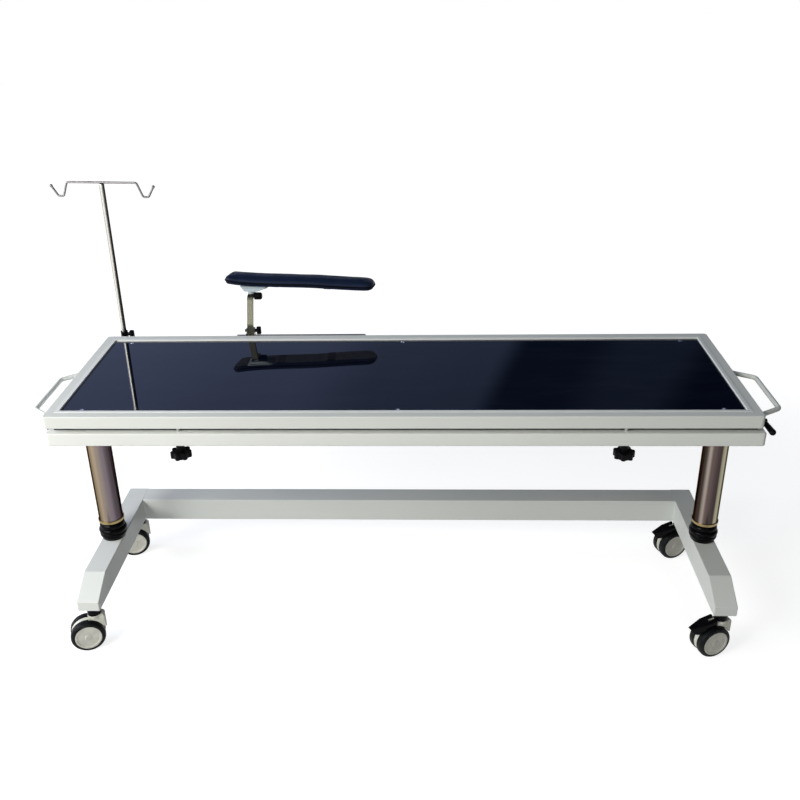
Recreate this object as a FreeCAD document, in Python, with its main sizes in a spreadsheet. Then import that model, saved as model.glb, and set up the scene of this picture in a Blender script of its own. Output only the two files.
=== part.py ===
import FreeCAD, Part
import math
import os
import Sketcher

# Mobile radiography table: a floating table top on two lifting columns and a
# U-shaped wheeled base, with an infusion pole and an arm rest on the rear edge.
# X runs along the table, +Y to the rear, +Z up, millimetres. The floor is z = 0.

VECTOR = FreeCAD.Vector
X_AXIS = VECTOR(1, 0, 0)
Y_AXIS = VECTOR(0, 1, 0)
Z_AXIS = VECTOR(0, 0, 1)
FULL_TURN = 360.0
TOUCH = 0.01

SIZES = [
    # where the footprint's middle is
    ("shift_x", 30.0, "table centre from the origin along X"),
    ("shift_y", -54.4, "table centre from the origin along Y"),
    # table top frame
    ("table_height", 790.0, "top of the frame above the floor"),
    ("top_length", 2000.0, "frame length"),
    ("top_width", 610.0, "frame width"),
    ("rail_width", 37.0, "frame rail width"),
    ("rail_height", 38.5, "frame rail height"),
    ("rail_wall", 2.0, "frame rail wall"),
    ("rail_round", 4.0, "frame rail outer rounding"),
    ("corner_round", 10.0, "frame corner rounding in plan"),
    ("rail_end", 12.0, "solid part at each end of a long rail"),
    ("gap_height", 14.5, "space between the two frames"),
    ("lower_height", 40.0, "lower frame rail height"),
    ("lower_longer", 5.0, "lower frame end beyond the top's half length"),
    ("lift_shift", 5.5, "lower frame and base from the table centre"),
    ("end_member_width", 84.0, "lower frame end member width"),
    ("mid_member_width", 40.0, "lower frame middle member width"),
    ("mid_member_place", 320.0, "middle member from the table centre"),
    # board and its edging
    ("board_drop", 4.0, "board top below the frame top"),
    ("board_thick", 12.0, "board thickness"),
    ("board_play", 0.3, "board clearance in its edging"),
    ("board_round", 1.0, "board top edge rounding"),
    ("lip_width", 9.0, "edging lip on the rail"),
    ("lip_thick", 1.2, "edging lip thickness"),
    ("web_thick", 2.0, "edging upright thickness"),
    ("ledge_width", 24.0, "edging ledge under the board"),
    ("ledge_thick", 3.0, "edging ledge thickness"),
    ("screw_span_x", 902.0, "end screws from the table centre"),
    ("screw_span_y", 250.0, "screw rows from the table centre"),
    ("screw_head", 6.5, "screw head radius"),
    ("screw_head_high", 2.4, "screw head height"),
    ("screw_play", 0.3, "screw head clearance in the board"),
    ("screw_shank", 2.5, "screw shank radius"),
    ("screw_hole", 2.8, "board hole radius"),
    ("screw_recess", 1.6, "screw socket depth"),
    ("screw_socket", 2.6, "screw socket radius"),
    # push handles
    ("grip_radius", 7.0, "push handle tube radius"),
    ("grip_reach_left", 49.0, "left push handle reach from the frame end"),
    ("grip_reach_right", 63.0, "right push handle reach from the frame end"),
    ("grip_root_half", 144.0, "half distance between handle roots"),
    ("grip_bar_half", 104.0, "half distance between handle bends"),
    ("grip_centre", -118.0, "handle middle from the table centre line"),
    ("grip_bend", 16.0, "handle bend radius"),
    ("grip_drop", 17.0, "handle axis below the frame top"),
    ("grip_inset", 12.0, "handle start inside the frame end"),
    # runner strips and the glide strips under them
    ("runner_half", 845.0, "half length of the runner strips"),
    ("runner_width", 10.0, "runner strip width"),
    ("runner_thick", 5.0, "runner strip thickness"),
    ("glide_half", 985.0, "half length of the glide strips"),
    ("glide_width", 12.0, "glide strip width"),
    ("glide_inset", 0.5, "glide strip from the rail's inner face"),
    ("glide_play", 0.3, "gap between glide and runner"),
    # side rail
    ("side_rail_left", -563.0, "side rail left end"),
    ("side_rail_right", -126.0, "side rail right end"),
    ("side_rail_thick", 10.0, "side rail thickness"),
    ("side_rail_high", 25.0, "side rail height"),
    ("side_rail_drop", 6.0, "side rail top below the frame top"),
    ("side_rail_round", 1.5, "side rail edge rounding"),
    ("standoff_long", 15.0, "standoff length"),
    ("standoff_radius", 7.0, "standoff radius"),
    ("standoff_inset", 12.0, "standoff from the rail end"),
    # columns
    ("column_x", 955.5, "column axis from the middle of the base"),
    ("column_y", -58.0, "column axis from the table centre line"),
    ("tube_radius", 38.2, "column tube outer radius"),
    ("tube_wall", 3.0, "column tube wall"),
    ("core_radius", 27.0, "column core radius"),
    ("core_wall", 4.0, "column core wall"),
    ("core_short", 34.0, "column core top below the column head"),
    ("bush_fit", 0.05, "guide bush running clearance"),
    ("bush_rim", 2.6, "guide bush rim beyond the column tube"),
    ("bush_high", 8.0, "guide bush height"),
    ("bush_rise", 65.0, "guide bush underside above the leg"),
    ("head_thick", 8.0, "column head plate thickness"),
    ("head_long", 120.0, "column head plate length"),
    ("head_bolt", 4.0, "head plate bolt radius"),
    ("head_bolt_rise", 5.0, "head plate bolt head height"),
    ("head_bolt_x", 34.0, "head plate bolt place along X"),
    ("head_bolt_y", 48.0, "head plate bolt place along Y"),
    # bellows
    ("bellows_inner", 28.4, "bellows bore radius"),
    ("bellows_foot", 37.4, "bellows radius at the leg"),
    ("bellows_low", 42.6, "lower ridge radius"),
    ("bellows_mid", 44.2, "middle ridge radius"),
    ("bellows_high", 39.6, "upper ridge radius"),
    ("bellows_neck", 32.0, "bellows radius under the bush"),
    ("bellows_groove", 1.6, "depth of the grooves between the ridges"),
    ("bellows_collar", 5.0, "height of each plain end"),
    ("bellows_play", 0.3, "gap at each bellows end"),
    # base
    ("leg_high", 80.0, "leg and crossbar height"),
    ("leg_wide", 68.0, "leg width"),
    ("leg_wall", 3.0, "leg and crossbar wall"),
    ("leg_round", 2.5, "leg edge rounding"),
    ("leg_rear", 236.0, "leg rear end"),
    ("leg_bend", -260.0, "where the leg top bends down"),
    ("leg_toe", -352.0, "leg front end"),
    ("toe_high", 32.0, "height of the front end face"),
    ("crossbar_wide", 76.0, "crossbar width"),
    # castors
    ("castor_head", 46.0, "leg underside above the wheel tops"),
    ("stem_front", -318.0, "front castor stem place"),
    ("stem_rear", 189.0, "rear castor stem place"),
    ("stem_radius", 6.0, "castor stem radius"),
    ("stem_fit", 0.06, "castor stem running clearance"),
    ("collar_radius", 20.0, "castor collar radius"),
    ("collar_high", 32.0, "castor collar height"),
    ("swivel_play", 0.3, "gap under the collar"),
    ("castor_turn", 20.0, "castor heading at rest"),
    ("wheel_radius", 52.5, "castor wheel radius"),
    ("wheel_trail", 28.0, "wheel axis behind the stem"),
    ("tyre_width", 24.0, "tyre width"),
    ("tyre_round", 10.0, "tyre outer shoulder rounding"),
    ("tyre_inner_round", 3.0, "tyre inner shoulder rounding"),
    ("core_disc", 40.0, "wheel disc radius"),
    ("disc_recess", 1.6, "wheel disc recess depth"),
    ("disc_flat", 33.0, "wheel disc recess radius"),
    ("disc_hub", 9.0, "wheel hub radius"),
    ("web_half", 6.5, "castor web half width"),
    ("web_short", 2.5, "castor web inside the wheel radius"),
    ("web_floor", 15.0, "castor web above the floor"),
    ("wheel_play", 1.9, "gap between housing and wheel"),
    ("axle_radius", 5.0, "castor axle radius"),
    ("axle_fit", 0.06, "castor axle running clearance"),
    ("fender_half", 17.0, "castor fender half width"),
    ("fender_front", 31.0, "fender front from the stem"),
    ("fender_back", -20.0, "fender back from the stem"),
    ("fender_low", 19.5, "fender front underside above the axle"),
    ("fender_root", 47.5, "fender back underside above the axle"),
    ("fender_slope", 7.0, "fender top front bevel"),
    ("fender_round", 5.0, "fender edge rounding"),
    ("boss_round", 21.0, "castor boss radius under the collar"),
    ("boss_high", 9.0, "castor boss height"),
    ("lug_far", -44.0, "pedal lug end from the stem"),
    ("lug_drop", 11.0, "pedal lug underside below the hinge"),
    ("hinge_x", -34.0, "pedal hinge from the stem"),
    ("hinge_rise", 8.0, "pedal hinge above the wheel tops"),
    ("hinge_pin", 2.5, "pedal hinge pin radius"),
    ("hinge_half", 15.0, "pedal hinge pin half length"),
    ("hinge_fit", 0.06, "pedal hinge pin clearance"),
    ("pedal_start", -24.0, "pedal near end from the stem"),
    ("pedal_back", 24.0, "pedal near end top above the wheel tops"),
    ("pedal_ridge", -60.0, "pedal middle from the stem"),
    ("pedal_ridge_rise", 17.0, "pedal middle top above the wheel tops"),
    ("pedal_tip", -104.0, "pedal tip place"),
    ("pedal_tip_rise", 5.0, "pedal tip top above the wheel tops"),
    ("pedal_tip_thick", 6.0, "pedal tip thickness"),
    ("pedal_belly", -88.0, "pedal belly place"),
    ("pedal_belly_drop", 18.0, "pedal belly below the wheel tops"),
    ("pedal_gap", 4.0, "pedal underside from the tyres"),
    ("pedal_half", 19.0, "pedal half width"),
    ("pedal_tip_half", 8.0, "pedal tip half width"),
    ("pedal_slot", 14.0, "pedal slot width"),
    ("pedal_slot_end", -46.0, "pedal slot end"),
    ("pedal_round", 7.0, "pedal edge rounding"),
    # slide lock levers
    ("lever_y", -240.0, "lever shaft place"),
    ("lever_drop", 48.0, "lever shaft below the frame top"),
    ("lever_shaft", 4.0, "lever shaft radius"),
    ("lever_shaft_in", 24.0, "lever shaft length inside the end"),
    ("lever_fit", 0.06, "lever shaft running clearance"),
    ("lever_hub", 8.0, "lever hub radius"),
    ("lever_gap", 1.0, "lever hub from the frame end"),
    ("lever_hub_long", 16.0, "lever hub length"),
    ("lever_reach", 66.0, "lever length towards the front"),
    ("lever_flare", 3.0, "lever flare away from the frame"),
    ("lever_root", 7.0, "lever grip root radius"),
    ("lever_tip", 9.0, "lever grip tip radius"),
    ("lever_left_down", 90.0, "left lever angle below level"),
    ("lever_right_down", 0.0, "right lever angle below level"),
    ("bearing_long", 24.0, "lever bearing block length"),
    ("bearing_deep", 18.0, "lever bearing block depth"),
    ("bearing_inset", 3.0, "lever bearing block from the end"),
    ("bearing_play", 0.6, "block top below the upper frame"),
    # clamp knobs under the lower frame
    ("knob_x", 626.0, "clamp knob from the middle of the lower frame"),
    ("knob_core", 25.0, "clamp knob body radius"),
    ("knob_lobe", 7.5, "clamp knob lobe radius"),
    ("knob_lobe_at", 23.0, "clamp knob lobe place"),
    ("knob_high", 20.0, "clamp knob height"),
    ("knob_drop", 42.0, "clamp knob underside below the lower frame"),
    ("knob_hub", 12.0, "clamp knob hub radius"),
    ("knob_hub_gap", 0.4, "hub below the lower frame"),
    ("knob_round", 2.0, "clamp knob edge rounding"),
    ("knob_lobes", 7.0, "number of lobes"),
    ("stud_radius", 5.0, "clamp stud radius"),
    ("stud_fit", 0.06, "clamp stud running clearance"),
    ("stud_gap", 0.4, "stud tip below the upper frame"),
    # infusion pole
    ("pole_inset", 46.0, "pole from the frame's left end"),
    ("pole_out", 35.0, "pole behind the frame"),
    ("pole_radius", 8.0, "pole radius"),
    ("pole_rise", 508.0, "pole top above the frame"),
    ("pole_fall", 54.0, "pole bottom below the frame top"),
    ("pole_fit", 0.08, "pole clearance in its socket"),
    ("pole_cap_round", 3.0, "pole top rounding"),
    ("socket_radius", 12.0, "pole socket radius"),
    ("socket_fall", 48.0, "pole socket underside below the frame top"),
    ("socket_rise", 5.0, "pole socket top above the frame"),
    ("bracket_half", 9.0, "socket bracket half width"),
    ("bracket_fall", 36.0, "socket bracket underside below the frame top"),
    ("bracket_high", 18.0, "socket bracket height"),
    ("hook_wire", 3.4, "hook wire radius"),
    ("hook_shoulder", 117.0, "shoulder from the pole axis"),
    ("hook_low_in", 134.0, "inner side of the hook bottom"),
    ("hook_low_out", 152.0, "outer side of the hook bottom"),
    ("hook_tip", 172.0, "hook tip from the pole axis"),
    ("hook_depth", 45.0, "hook bottom below the bar"),
    ("hook_tip_drop", 12.0, "hook tip below the bar"),
    ("hook_bend", 9.0, "hook wire bend radius"),
    ("hook_ball", 5.0, "hook tip ball radius"),
    ("hook_turn", -6.0, "hook bar heading at rest"),
    ("pole_knob_drop", 6.0, "pole knob axis below the frame top"),
    ("thumb_stud", 3.5, "thumb screw radius"),
    ("thumb_fit", 0.06, "thumb screw running clearance"),
    ("thumb_hub", 6.0, "thumb screw hub radius"),
    ("thumb_hub_long", 6.0, "thumb screw hub length"),
    ("thumb_wing", 13.0, "thumb screw wing reach"),
    ("thumb_wing_long", 15.0, "thumb screw wing depth"),
    ("thumb_wing_thick", 7.0, "thumb screw wing thickness"),
    ("thumb_wing_round", 3.0, "thumb screw wing rounding"),
    ("thumb_gap", 0.4, "thumb screw hub from its seat"),
    ("thumb_in", 3.2, "thumb screw depth in its seat"),
    # arm rest
    ("arm_x", -517.0, "arm rest post place along X"),
    ("post_gap", 1.0, "post from the clamp's rail slot"),
    ("post_wide", 20.0, "post width"),
    ("post_thick", 10.0, "post thickness"),
    ("post_fall", 62.0, "post bottom below the frame top"),
    ("post_knee", 26.0, "where the post starts to lean"),
    ("post_lean", 39.6, "post elbow behind the clamp"),
    ("post_elbow", 109.5, "post elbow above the frame"),
    ("post_reach", 83.6, "post end behind the clamp"),
    ("post_end", 110.5, "post end above the frame"),
    ("post_bend", 14.0, "post bend radius"),
    ("clamp_half", 14.0, "clamp half width"),
    ("clamp_foot", 5.0, "clamp underside below the rail"),
    ("clamp_neck", 19.0, "clamp top above the rail"),
    ("clamp_hook", 5.5, "clamp hook top above the rail"),
    ("clamp_lip", 3.6, "clamp lip thickness"),
    ("clamp_lip_high", 6.0, "clamp lip overlap on the rail"),
    ("clamp_play", 0.4, "clamp clearance on the rail"),
    ("clamp_back", 7.0, "clamp back wall"),
    ("clamp_screw_rise", 12.0, "clamp screw above the rail"),
    ("clamp_cap_radius", 5.0, "clamp end cap radius"),
    ("clamp_cap_long", 5.0, "clamp end cap length"),
    ("pivot_reach", 69.6, "arm rest swivel behind the clamp"),
    ("pivot_pin", 6.0, "swivel pin radius"),
    ("pivot_fit", 0.06, "swivel pin running clearance"),
    ("pivot_gap", 0.4, "boss above the post"),
    ("pivot_pin_deep", 6.0, "swivel pin depth in the post"),
    ("boss_radius", 12.0, "swivel boss radius"),
    ("plate_low", 137.0, "bracket plate above the frame at the swivel"),
    ("plate_thick", 3.0, "bracket plate thickness"),
    ("plate_long", 94.0, "bracket plate length"),
    ("plate_wide", 62.0, "bracket plate width"),
    ("plate_ahead", 10.0, "bracket plate middle right of the swivel"),
    ("plate_shift", 18.0, "bracket plate middle behind the swivel"),
    ("plate_round", 12.0, "bracket plate corner radius"),
    ("pan_long", 40.0, "bracket pan length"),
    ("pan_wide", 34.0, "bracket pan width"),
    ("pan_deep", 12.0, "bracket pan depth"),
    ("pan_rim", 3.0, "bracket pan inside the plate edge"),
    ("pad_long", 516.0, "pad length"),
    ("pad_wide", 84.0, "pad width"),
    ("pad_thick", 26.0, "pad thickness"),
    ("pad_end_round", 40.0, "pad end rounding in plan"),
    ("pad_edge_round", 11.0, "pad edge rounding"),
    ("pad_left", 96.0, "pad left end from the swivel"),
    ("pad_shift", 34.0, "pad middle behind the swivel"),
    ("pad_gap", 0.3, "pad above its plate"),
    ("pad_tilt", 2.8, "pad slope down to the right"),
    ("strap_wide", 24.0, "strap width"),
    ("strap_thick", 2.2, "strap thickness"),
    ("strap_long", 62.0, "strap length"),
    ("strap_near", 79.0, "near strap from the swivel"),
    ("strap_far", 259.0, "far strap from the swivel"),
    ("arm_knob_reach", 52.0, "arm rest knob behind the clamp"),
    ("arm_knob_radius", 12.5, "arm rest knob radius"),
    ("arm_knob_long", 26.0, "arm rest knob length"),
    ("arm_knob_neck", 3.0, "arm rest knob neck length"),
    ("arm_knob_round", 7.0, "arm rest knob rounding"),
    ("arm_knob_pin", 3.0, "arm rest knob pin radius"),
    ("arm_knob_in", 3.6, "arm rest knob pin depth in the post"),
    ("arm_knob_seat", 4.2, "arm rest knob hole depth in the post"),
]


class Dim:
    """A size that carries its spreadsheet expression and its value."""

    def __init__(self, text, value):
        self.text = text
        self.value = value

    def __add__(self, other):
        other = dim(other)
        return Dim("(%s + %s)" % (self.text, other.text), self.value + other.value)

    def __sub__(self, other):
        other = dim(other)
        return Dim("(%s - %s)" % (self.text, other.text), self.value - other.value)

    def __mul__(self, factor):
        return Dim("(%s * %s)" % (self.text, factor), self.value * factor)

    def __neg__(self):
        return Dim("(0 - %s)" % self.text, -self.value)


def dim(number):
    if isinstance(number, Dim):
        return number
    return Dim(repr(float(number)), float(number))


DOC = FreeCAD.newDocument("RadiographyTable")
SHEET = DOC.addObject("Spreadsheet::Sheet", "Sizes")
for row, (alias, number, note) in enumerate(SIZES, start=1):
    SHEET.set("A%d" % row, note)
    SHEET.set("B%d" % row, str(number))
    SHEET.setAlias("B%d" % row, alias)
DOC.recompute()


def size(alias):
    return Dim("Sizes." + alias, float(SHEET.get(alias)))


ZERO = dim(0)
SHIFT_X = size("shift_x")
SHIFT_Y = size("shift_y")
PARTS = []


# ---------------------------------------------------------------- helpers

def bind(item, prop, value):
    item.setExpression(prop, dim(value).text)


def place(item, x, y, z, axis=Z_AXIS, angle=0.0):
    """Puts an item at a table position, turned about one axis."""
    spots = [dim(x) + SHIFT_X, dim(y) + SHIFT_Y, dim(z)]
    base = VECTOR(*[spot.value for spot in spots])
    item.Placement = FreeCAD.Placement(base, FreeCAD.Rotation(axis, angle))
    for letter, spot in zip("xyz", spots):
        item.setExpression("Placement.Base." + letter, spot.text)
    return item


def seat(item, x, y, z, axis=Z_AXIS, angle=0.0):
    """Puts an item at a position inside its own piece."""
    spots = [dim(x), dim(y), dim(z)]
    base = VECTOR(*[spot.value for spot in spots])
    item.Placement = FreeCAD.Placement(base, FreeCAD.Rotation(axis, angle))
    for letter, spot in zip("xyz", spots):
        item.setExpression("Placement.Base." + letter, spot.text)
    return item


def publish(item, name):
    """Registers a finished sub-part under its node name."""
    item.Label = name
    PARTS.append((name, item))
    return item


def box(name, length, width, height):
    item = DOC.addObject("Part::Box", name)
    bind(item, "Length", length)
    bind(item, "Width", width)
    bind(item, "Height", height)
    return item


def cylinder(name, radius, height):
    item = DOC.addObject("Part::Cylinder", name)
    bind(item, "Radius", radius)
    bind(item, "Height", height)
    return item


def cut(name, base, tool):
    item = DOC.addObject("Part::Cut", name)
    item.Base = base
    item.Tool = tool
    return item


def fuse(name, items):
    item = DOC.addObject("Part::MultiFuse", name)
    item.Shapes = items
    item.Refine = True
    return item


def group(name, items):
    item = DOC.addObject("Part::Compound", name)
    item.Links = items
    return publish(item, name)


def rounded(name, base, radius, picks):
    """Fillets the edges of a base item whose middle passes the test."""
    DOC.recompute()
    item = DOC.addObject("Part::Fillet", name)
    item.Base = base
    edges = []
    for number, edge in enumerate(base.Shape.Edges, start=1):
        if picks(middle(edge)):
            edges.append((number, radius.value, radius.value))
    item.Edges = edges
    return item


def middle(edge):
    return edge.valueAt((edge.FirstParameter + edge.LastParameter) / 2.0)


def new_body(name):
    return DOC.addObject("PartDesign::Body", name)


def plane_of(body, role):
    for feature in body.Origin.OriginFeatures:
        if feature.Role == role:
            return feature
    raise RuntimeError("missing plane " + role)


def new_sketch(body, name, role, offset=ZERO):
    sketch = body.newObject("Sketcher::SketchObject", name)
    sketch.AttachmentSupport = [(plane_of(body, role), "")]
    sketch.MapMode = "FlatFace"
    sketch.setExpression("AttachmentOffset.Base.z", offset.text)
    return sketch


def pin_point(sketch, line, spot, x, y):
    """Ties one sketch point to its two driven coordinates."""
    for kind, axis, value in (("DistanceX", -2, x), ("DistanceY", -1, y)):
        if abs(value.value) < TOUCH:
            sketch.addConstraint(
                Sketcher.Constraint("PointOnObject", line, spot, axis))
            continue
        index = sketch.addConstraint(
            Sketcher.Constraint(kind, -1, 1, line, spot, value.value))
        sketch.setExpression("Constraints[%d]" % index, value.text)


def polygon(sketch, corners):
    """Adds a closed outline whose corners are all driven."""
    corners = [(dim(x), dim(y)) for x, y in corners]
    start = sketch.GeometryCount
    count = len(corners)
    for index in range(count):
        x, y = corners[index]
        next_x, next_y = corners[(index + 1) % count]
        sketch.addGeometry(Part.LineSegment(
            VECTOR(x.value, y.value, 0), VECTOR(next_x.value, next_y.value, 0)))
    for index in range(count):
        follower = start + (index + 1) % count
        sketch.addConstraint(
            Sketcher.Constraint("Coincident", start + index, 2, follower, 1))
    for index, (x, y) in enumerate(corners):
        pin_point(sketch, start + index, 1, x, y)


def rectangle(sketch, x_low, x_high, y_low, y_high):
    polygon(sketch, [(x_low, y_low), (x_high, y_low),
                     (x_high, y_high), (x_low, y_high)])


def circle(sketch, x, y, radius):
    x, y, radius = dim(x), dim(y), dim(radius)
    index = sketch.addGeometry(
        Part.Circle(VECTOR(x.value, y.value, 0), Z_AXIS, radius.value))
    pin_point(sketch, index, 3, x, y)
    row = sketch.addConstraint(Sketcher.Constraint("Radius", index, radius.value))
    sketch.setExpression("Constraints[%d]" % row, radius.text)


def pad(body, name, sketch, length):
    feature = body.newObject("PartDesign::Pad", name)
    feature.Profile = sketch
    bind(feature, "Length", length)
    return feature


def pocket(body, name, sketch, length):
    """Cuts downwards from the sketch and checks that something was removed."""
    DOC.recompute()
    before = body.Shape.Volume
    feature = body.newObject("PartDesign::Pocket", name)
    feature.Profile = sketch
    bind(feature, "Length", length)
    DOC.recompute()
    if not body.Shape.Volume < before:
        raise RuntimeError(name + " removed nothing")
    return feature


def fillet(body, name, base, radius, picks):
    DOC.recompute()
    feature = body.newObject("PartDesign::Fillet", name)
    names = []
    for number, edge in enumerate(base.Shape.Edges, start=1):
        if picks(middle(edge)):
            names.append("Edge%d" % number)
    feature.Base = (base, names)
    bind(feature, "Radius", radius)
    return feature


def hollow_bar(name, length, width, height, wall, radius, picks):
    """Closed box section lying along X with its underside on z = 0."""
    body = new_body(name)
    outline = new_sketch(body, name + "Outline", "XY_Plane")
    rectangle(outline, length * -0.5, length * 0.5, width * -0.5, width * 0.5)
    bar = pad(body, name + "Pad", outline, height)
    fillet(body, name + "Round", bar, radius, picks)
    inside = new_sketch(body, name + "Inside", "XY_Plane", height - wall)
    rectangle(inside, length * -0.5 + wall, length * 0.5 - wall,
              width * -0.5 + wall, width * 0.5 - wall)
    pocket(body, name + "Hollow", inside, height - wall * 2)
    return body


def ring(name, outer, inner, height):
    """Upright tube standing on z = 0."""
    body = new_body(name)
    outline = new_sketch(body, name + "Outline", "XY_Plane")
    circle(outline, ZERO, ZERO, outer)
    circle(outline, ZERO, ZERO, inner)
    pad(body, name + "Pad", outline, height)
    return body


def bent_path(points, radius):
    """Straight runs joined by tangent arcs of one radius."""
    edges = []
    start = points[0]
    for before, corner, after in zip(points, points[1:], points[2:]):
        back = (before - corner).normalize()
        ahead = (after - corner).normalize()
        half = math.acos(max(-1.0, min(1.0, back.dot(ahead)))) / 2.0
        run = radius / math.tan(half)
        first = corner + back * run
        last = corner + ahead * run
        bisector = (back + ahead).normalize()
        centre = corner + bisector * (radius / math.sin(half))
        top = centre - bisector * radius
        edges.append(Part.LineSegment(start, first).toShape())
        edges.append(Part.Arc(first, top, last).toShape())
        start = last
    edges.append(Part.LineSegment(start, points[-1]).toShape())
    return Part.Wire(edges)


def sweep(name, path, section):
    """Solid made by moving a closed section along a bent path."""
    spine = DOC.addObject("Part::Feature", name + "Path")
    spine.Shape = path
    DOC.recompute()
    item = DOC.addObject("Part::Sweep", name)
    item.Sections = [section]
    item.Spine = (spine, ["Edge%d" % (n + 1) for n in range(len(path.Edges))])
    item.Solid = True
    item.Frenet = False
    item.Transition = "Round corner"
    return item


def round_section(name, radius, centre, direction):
    item = DOC.addObject("Part::Circle", name)
    bind(item, "Radius", radius)
    turn = FreeCAD.Rotation(Z_AXIS, direction)
    item.Placement = FreeCAD.Placement(centre, turn)
    return item


# ---------------------------------------------------------------- shared sizes

table_height = size("table_height")
top_length = size("top_length")
top_width = size("top_width")
rail_width = size("rail_width")
rail_height = size("rail_height")
rail_wall = size("rail_wall")
rail_round = size("rail_round")
half_length = top_length * 0.5
half_width = top_width * 0.5
upper_low = table_height - rail_height
lower_high = upper_low - size("gap_height")
lower_height = size("lower_height")
lower_low = lower_high - lower_height
rail_y = half_width - rail_width * 0.5
span_y = top_width - rail_width * 2
open_x = half_length - rail_width
open_y = half_width - rail_width
half_lower = half_length + size("lower_longer")
lift_shift = size("lift_shift")
wheel_top = size("wheel_radius") * 2
leg_low = wheel_top + size("castor_head")
leg_top = leg_low + size("leg_high")
bush_bottom = leg_top + size("bush_rise")
column_y = size("column_y")
pole_x = size("pole_inset") - half_length
pole_y = half_width + size("pole_out")
side_rail_top = table_height - size("side_rail_drop")
side_rail_low = side_rail_top - size("side_rail_high")
side_rail_back = half_width + size("standoff_long") + size("side_rail_thick")
slot_back = side_rail_back + size("clamp_play")
post_y = slot_back + size("post_gap") + size("post_thick") * 0.5
SIDES = (("left", -1), ("right", 1))


def column_at(side):
    """Column, leg and castor stem place along X on one side."""
    return size("column_x") * side + lift_shift


# ---------------------------------------------------------------- table top frame

def long_rail(name, half, height):
    """Front or rear rail; its inner face, at +Y, stays square for the joints."""
    width = rail_width
    body = new_body(name)
    outline = new_sketch(body, name + "Outline", "XY_Plane")
    rectangle(outline, -half, half, width * -0.5, width * 0.5)
    bar = pad(body, name + "Pad", outline, height)
    inner = width.value / 2.0 - TOUCH
    low = height.value / 2.0 - TOUCH
    corners = fillet(body, name + "Corners", bar, size("corner_round"),
                     lambda spot: abs(spot.z - height.value / 2.0) < TOUCH
                     and spot.y < -inner)
    fillet(body, name + "Round", corners, rail_round,
           lambda spot: abs(spot.z - height.value / 2.0) > low and spot.y < inner)
    end = size("rail_end")
    inside = new_sketch(body, name + "Inside", "XY_Plane", height - rail_wall)
    rectangle(inside, end - half, half - end,
              width * -0.5 + rail_wall, width * 0.5 - rail_wall)
    pocket(body, name + "Hollow", inside, height - rail_wall * 2)
    return body


def end_rail(name, width, height):
    """End member between the long rails; only its outer face, at -X, is rounded."""
    body = new_body(name)
    outline = new_sketch(body, name + "Outline", "XY_Plane")
    rectangle(outline, ZERO, width, span_y * -0.5, span_y * 0.5)
    bar = pad(body, name + "Pad", outline, height)
    fillet(body, name + "Round", bar, rail_round,
           lambda spot: spot.x < TOUCH and abs(spot.y) < TOUCH)
    inside = new_sketch(body, name + "Inside", "XY_Plane", height - rail_wall)
    rectangle(inside, rail_wall, width - rail_wall,
              span_y * -0.5 + rail_wall, span_y * 0.5 - rail_wall)
    pocket(body, name + "Hollow", inside, height - rail_wall * 2)
    return body


def make_top_frame():
    front = long_rail("TopFront", half_length, rail_height)
    publish(place(front, 0, -rail_y, upper_low), "top_rail_front")
    rear = long_rail("TopRear", half_length, rail_height)
    publish(place(rear, 0, rail_y, upper_low, Z_AXIS, 180), "top_rail_rear")
    left = end_rail("TopLeft", rail_width, rail_height)
    publish(place(left, -half_length, 0, upper_low), "top_rail_left")
    right = end_rail("TopRight", rail_width, rail_height)
    publish(place(right, half_length, 0, upper_low, Z_AXIS, 180), "top_rail_right")


def make_edging():
    """Z-section edging: a lip on the rails, an upright and a ledge below."""
    lip = size("lip_width")
    web = size("web_thick")
    ledge = size("ledge_width")
    board_low = table_height - size("board_drop") - size("board_thick")
    ledge_low = board_low - size("ledge_thick")
    body = new_body("Edging")
    rows = (
        ("Ledge", ledge_low, board_low, ZERO, ledge),
        ("Upright", ledge_low, table_height + size("lip_thick"), ZERO, web),
        ("Lip", table_height, table_height + size("lip_thick"), -lip, web),
    )
    for label, low, high, outward, inward in rows:
        outline = new_sketch(body, "Edging" + label, "XY_Plane", low)
        rectangle(outline, -open_x + outward, open_x - outward,
                  -open_y + outward, open_y - outward)
        rectangle(outline, -open_x + inward, open_x - inward,
                  -open_y + inward, open_y - inward)
        last = pad(body, "Edging" + label + "Pad", outline, high - low)
    top = (table_height + size("lip_thick")).value
    round_size = size("lip_thick") * 0.5
    fillet(body, "EdgingRound", last, round_size,
           lambda spot: abs(spot.z - top) < TOUCH)
    drill = new_sketch(body, "EdgingHoles", "XY_Plane", board_low)
    for x, y in screw_places():
        circle(drill, x, y, size("screw_shank"))
    pocket(body, "EdgingDrill", drill, size("ledge_thick"))
    publish(place(body, 0, 0, 0), "board_edging")


def screw_places():
    span_x = size("screw_span_x")
    row_y = size("screw_span_y")
    return [(x, y) for y in (-row_y, row_y) for x in (-span_x, ZERO, span_x)]


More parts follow.
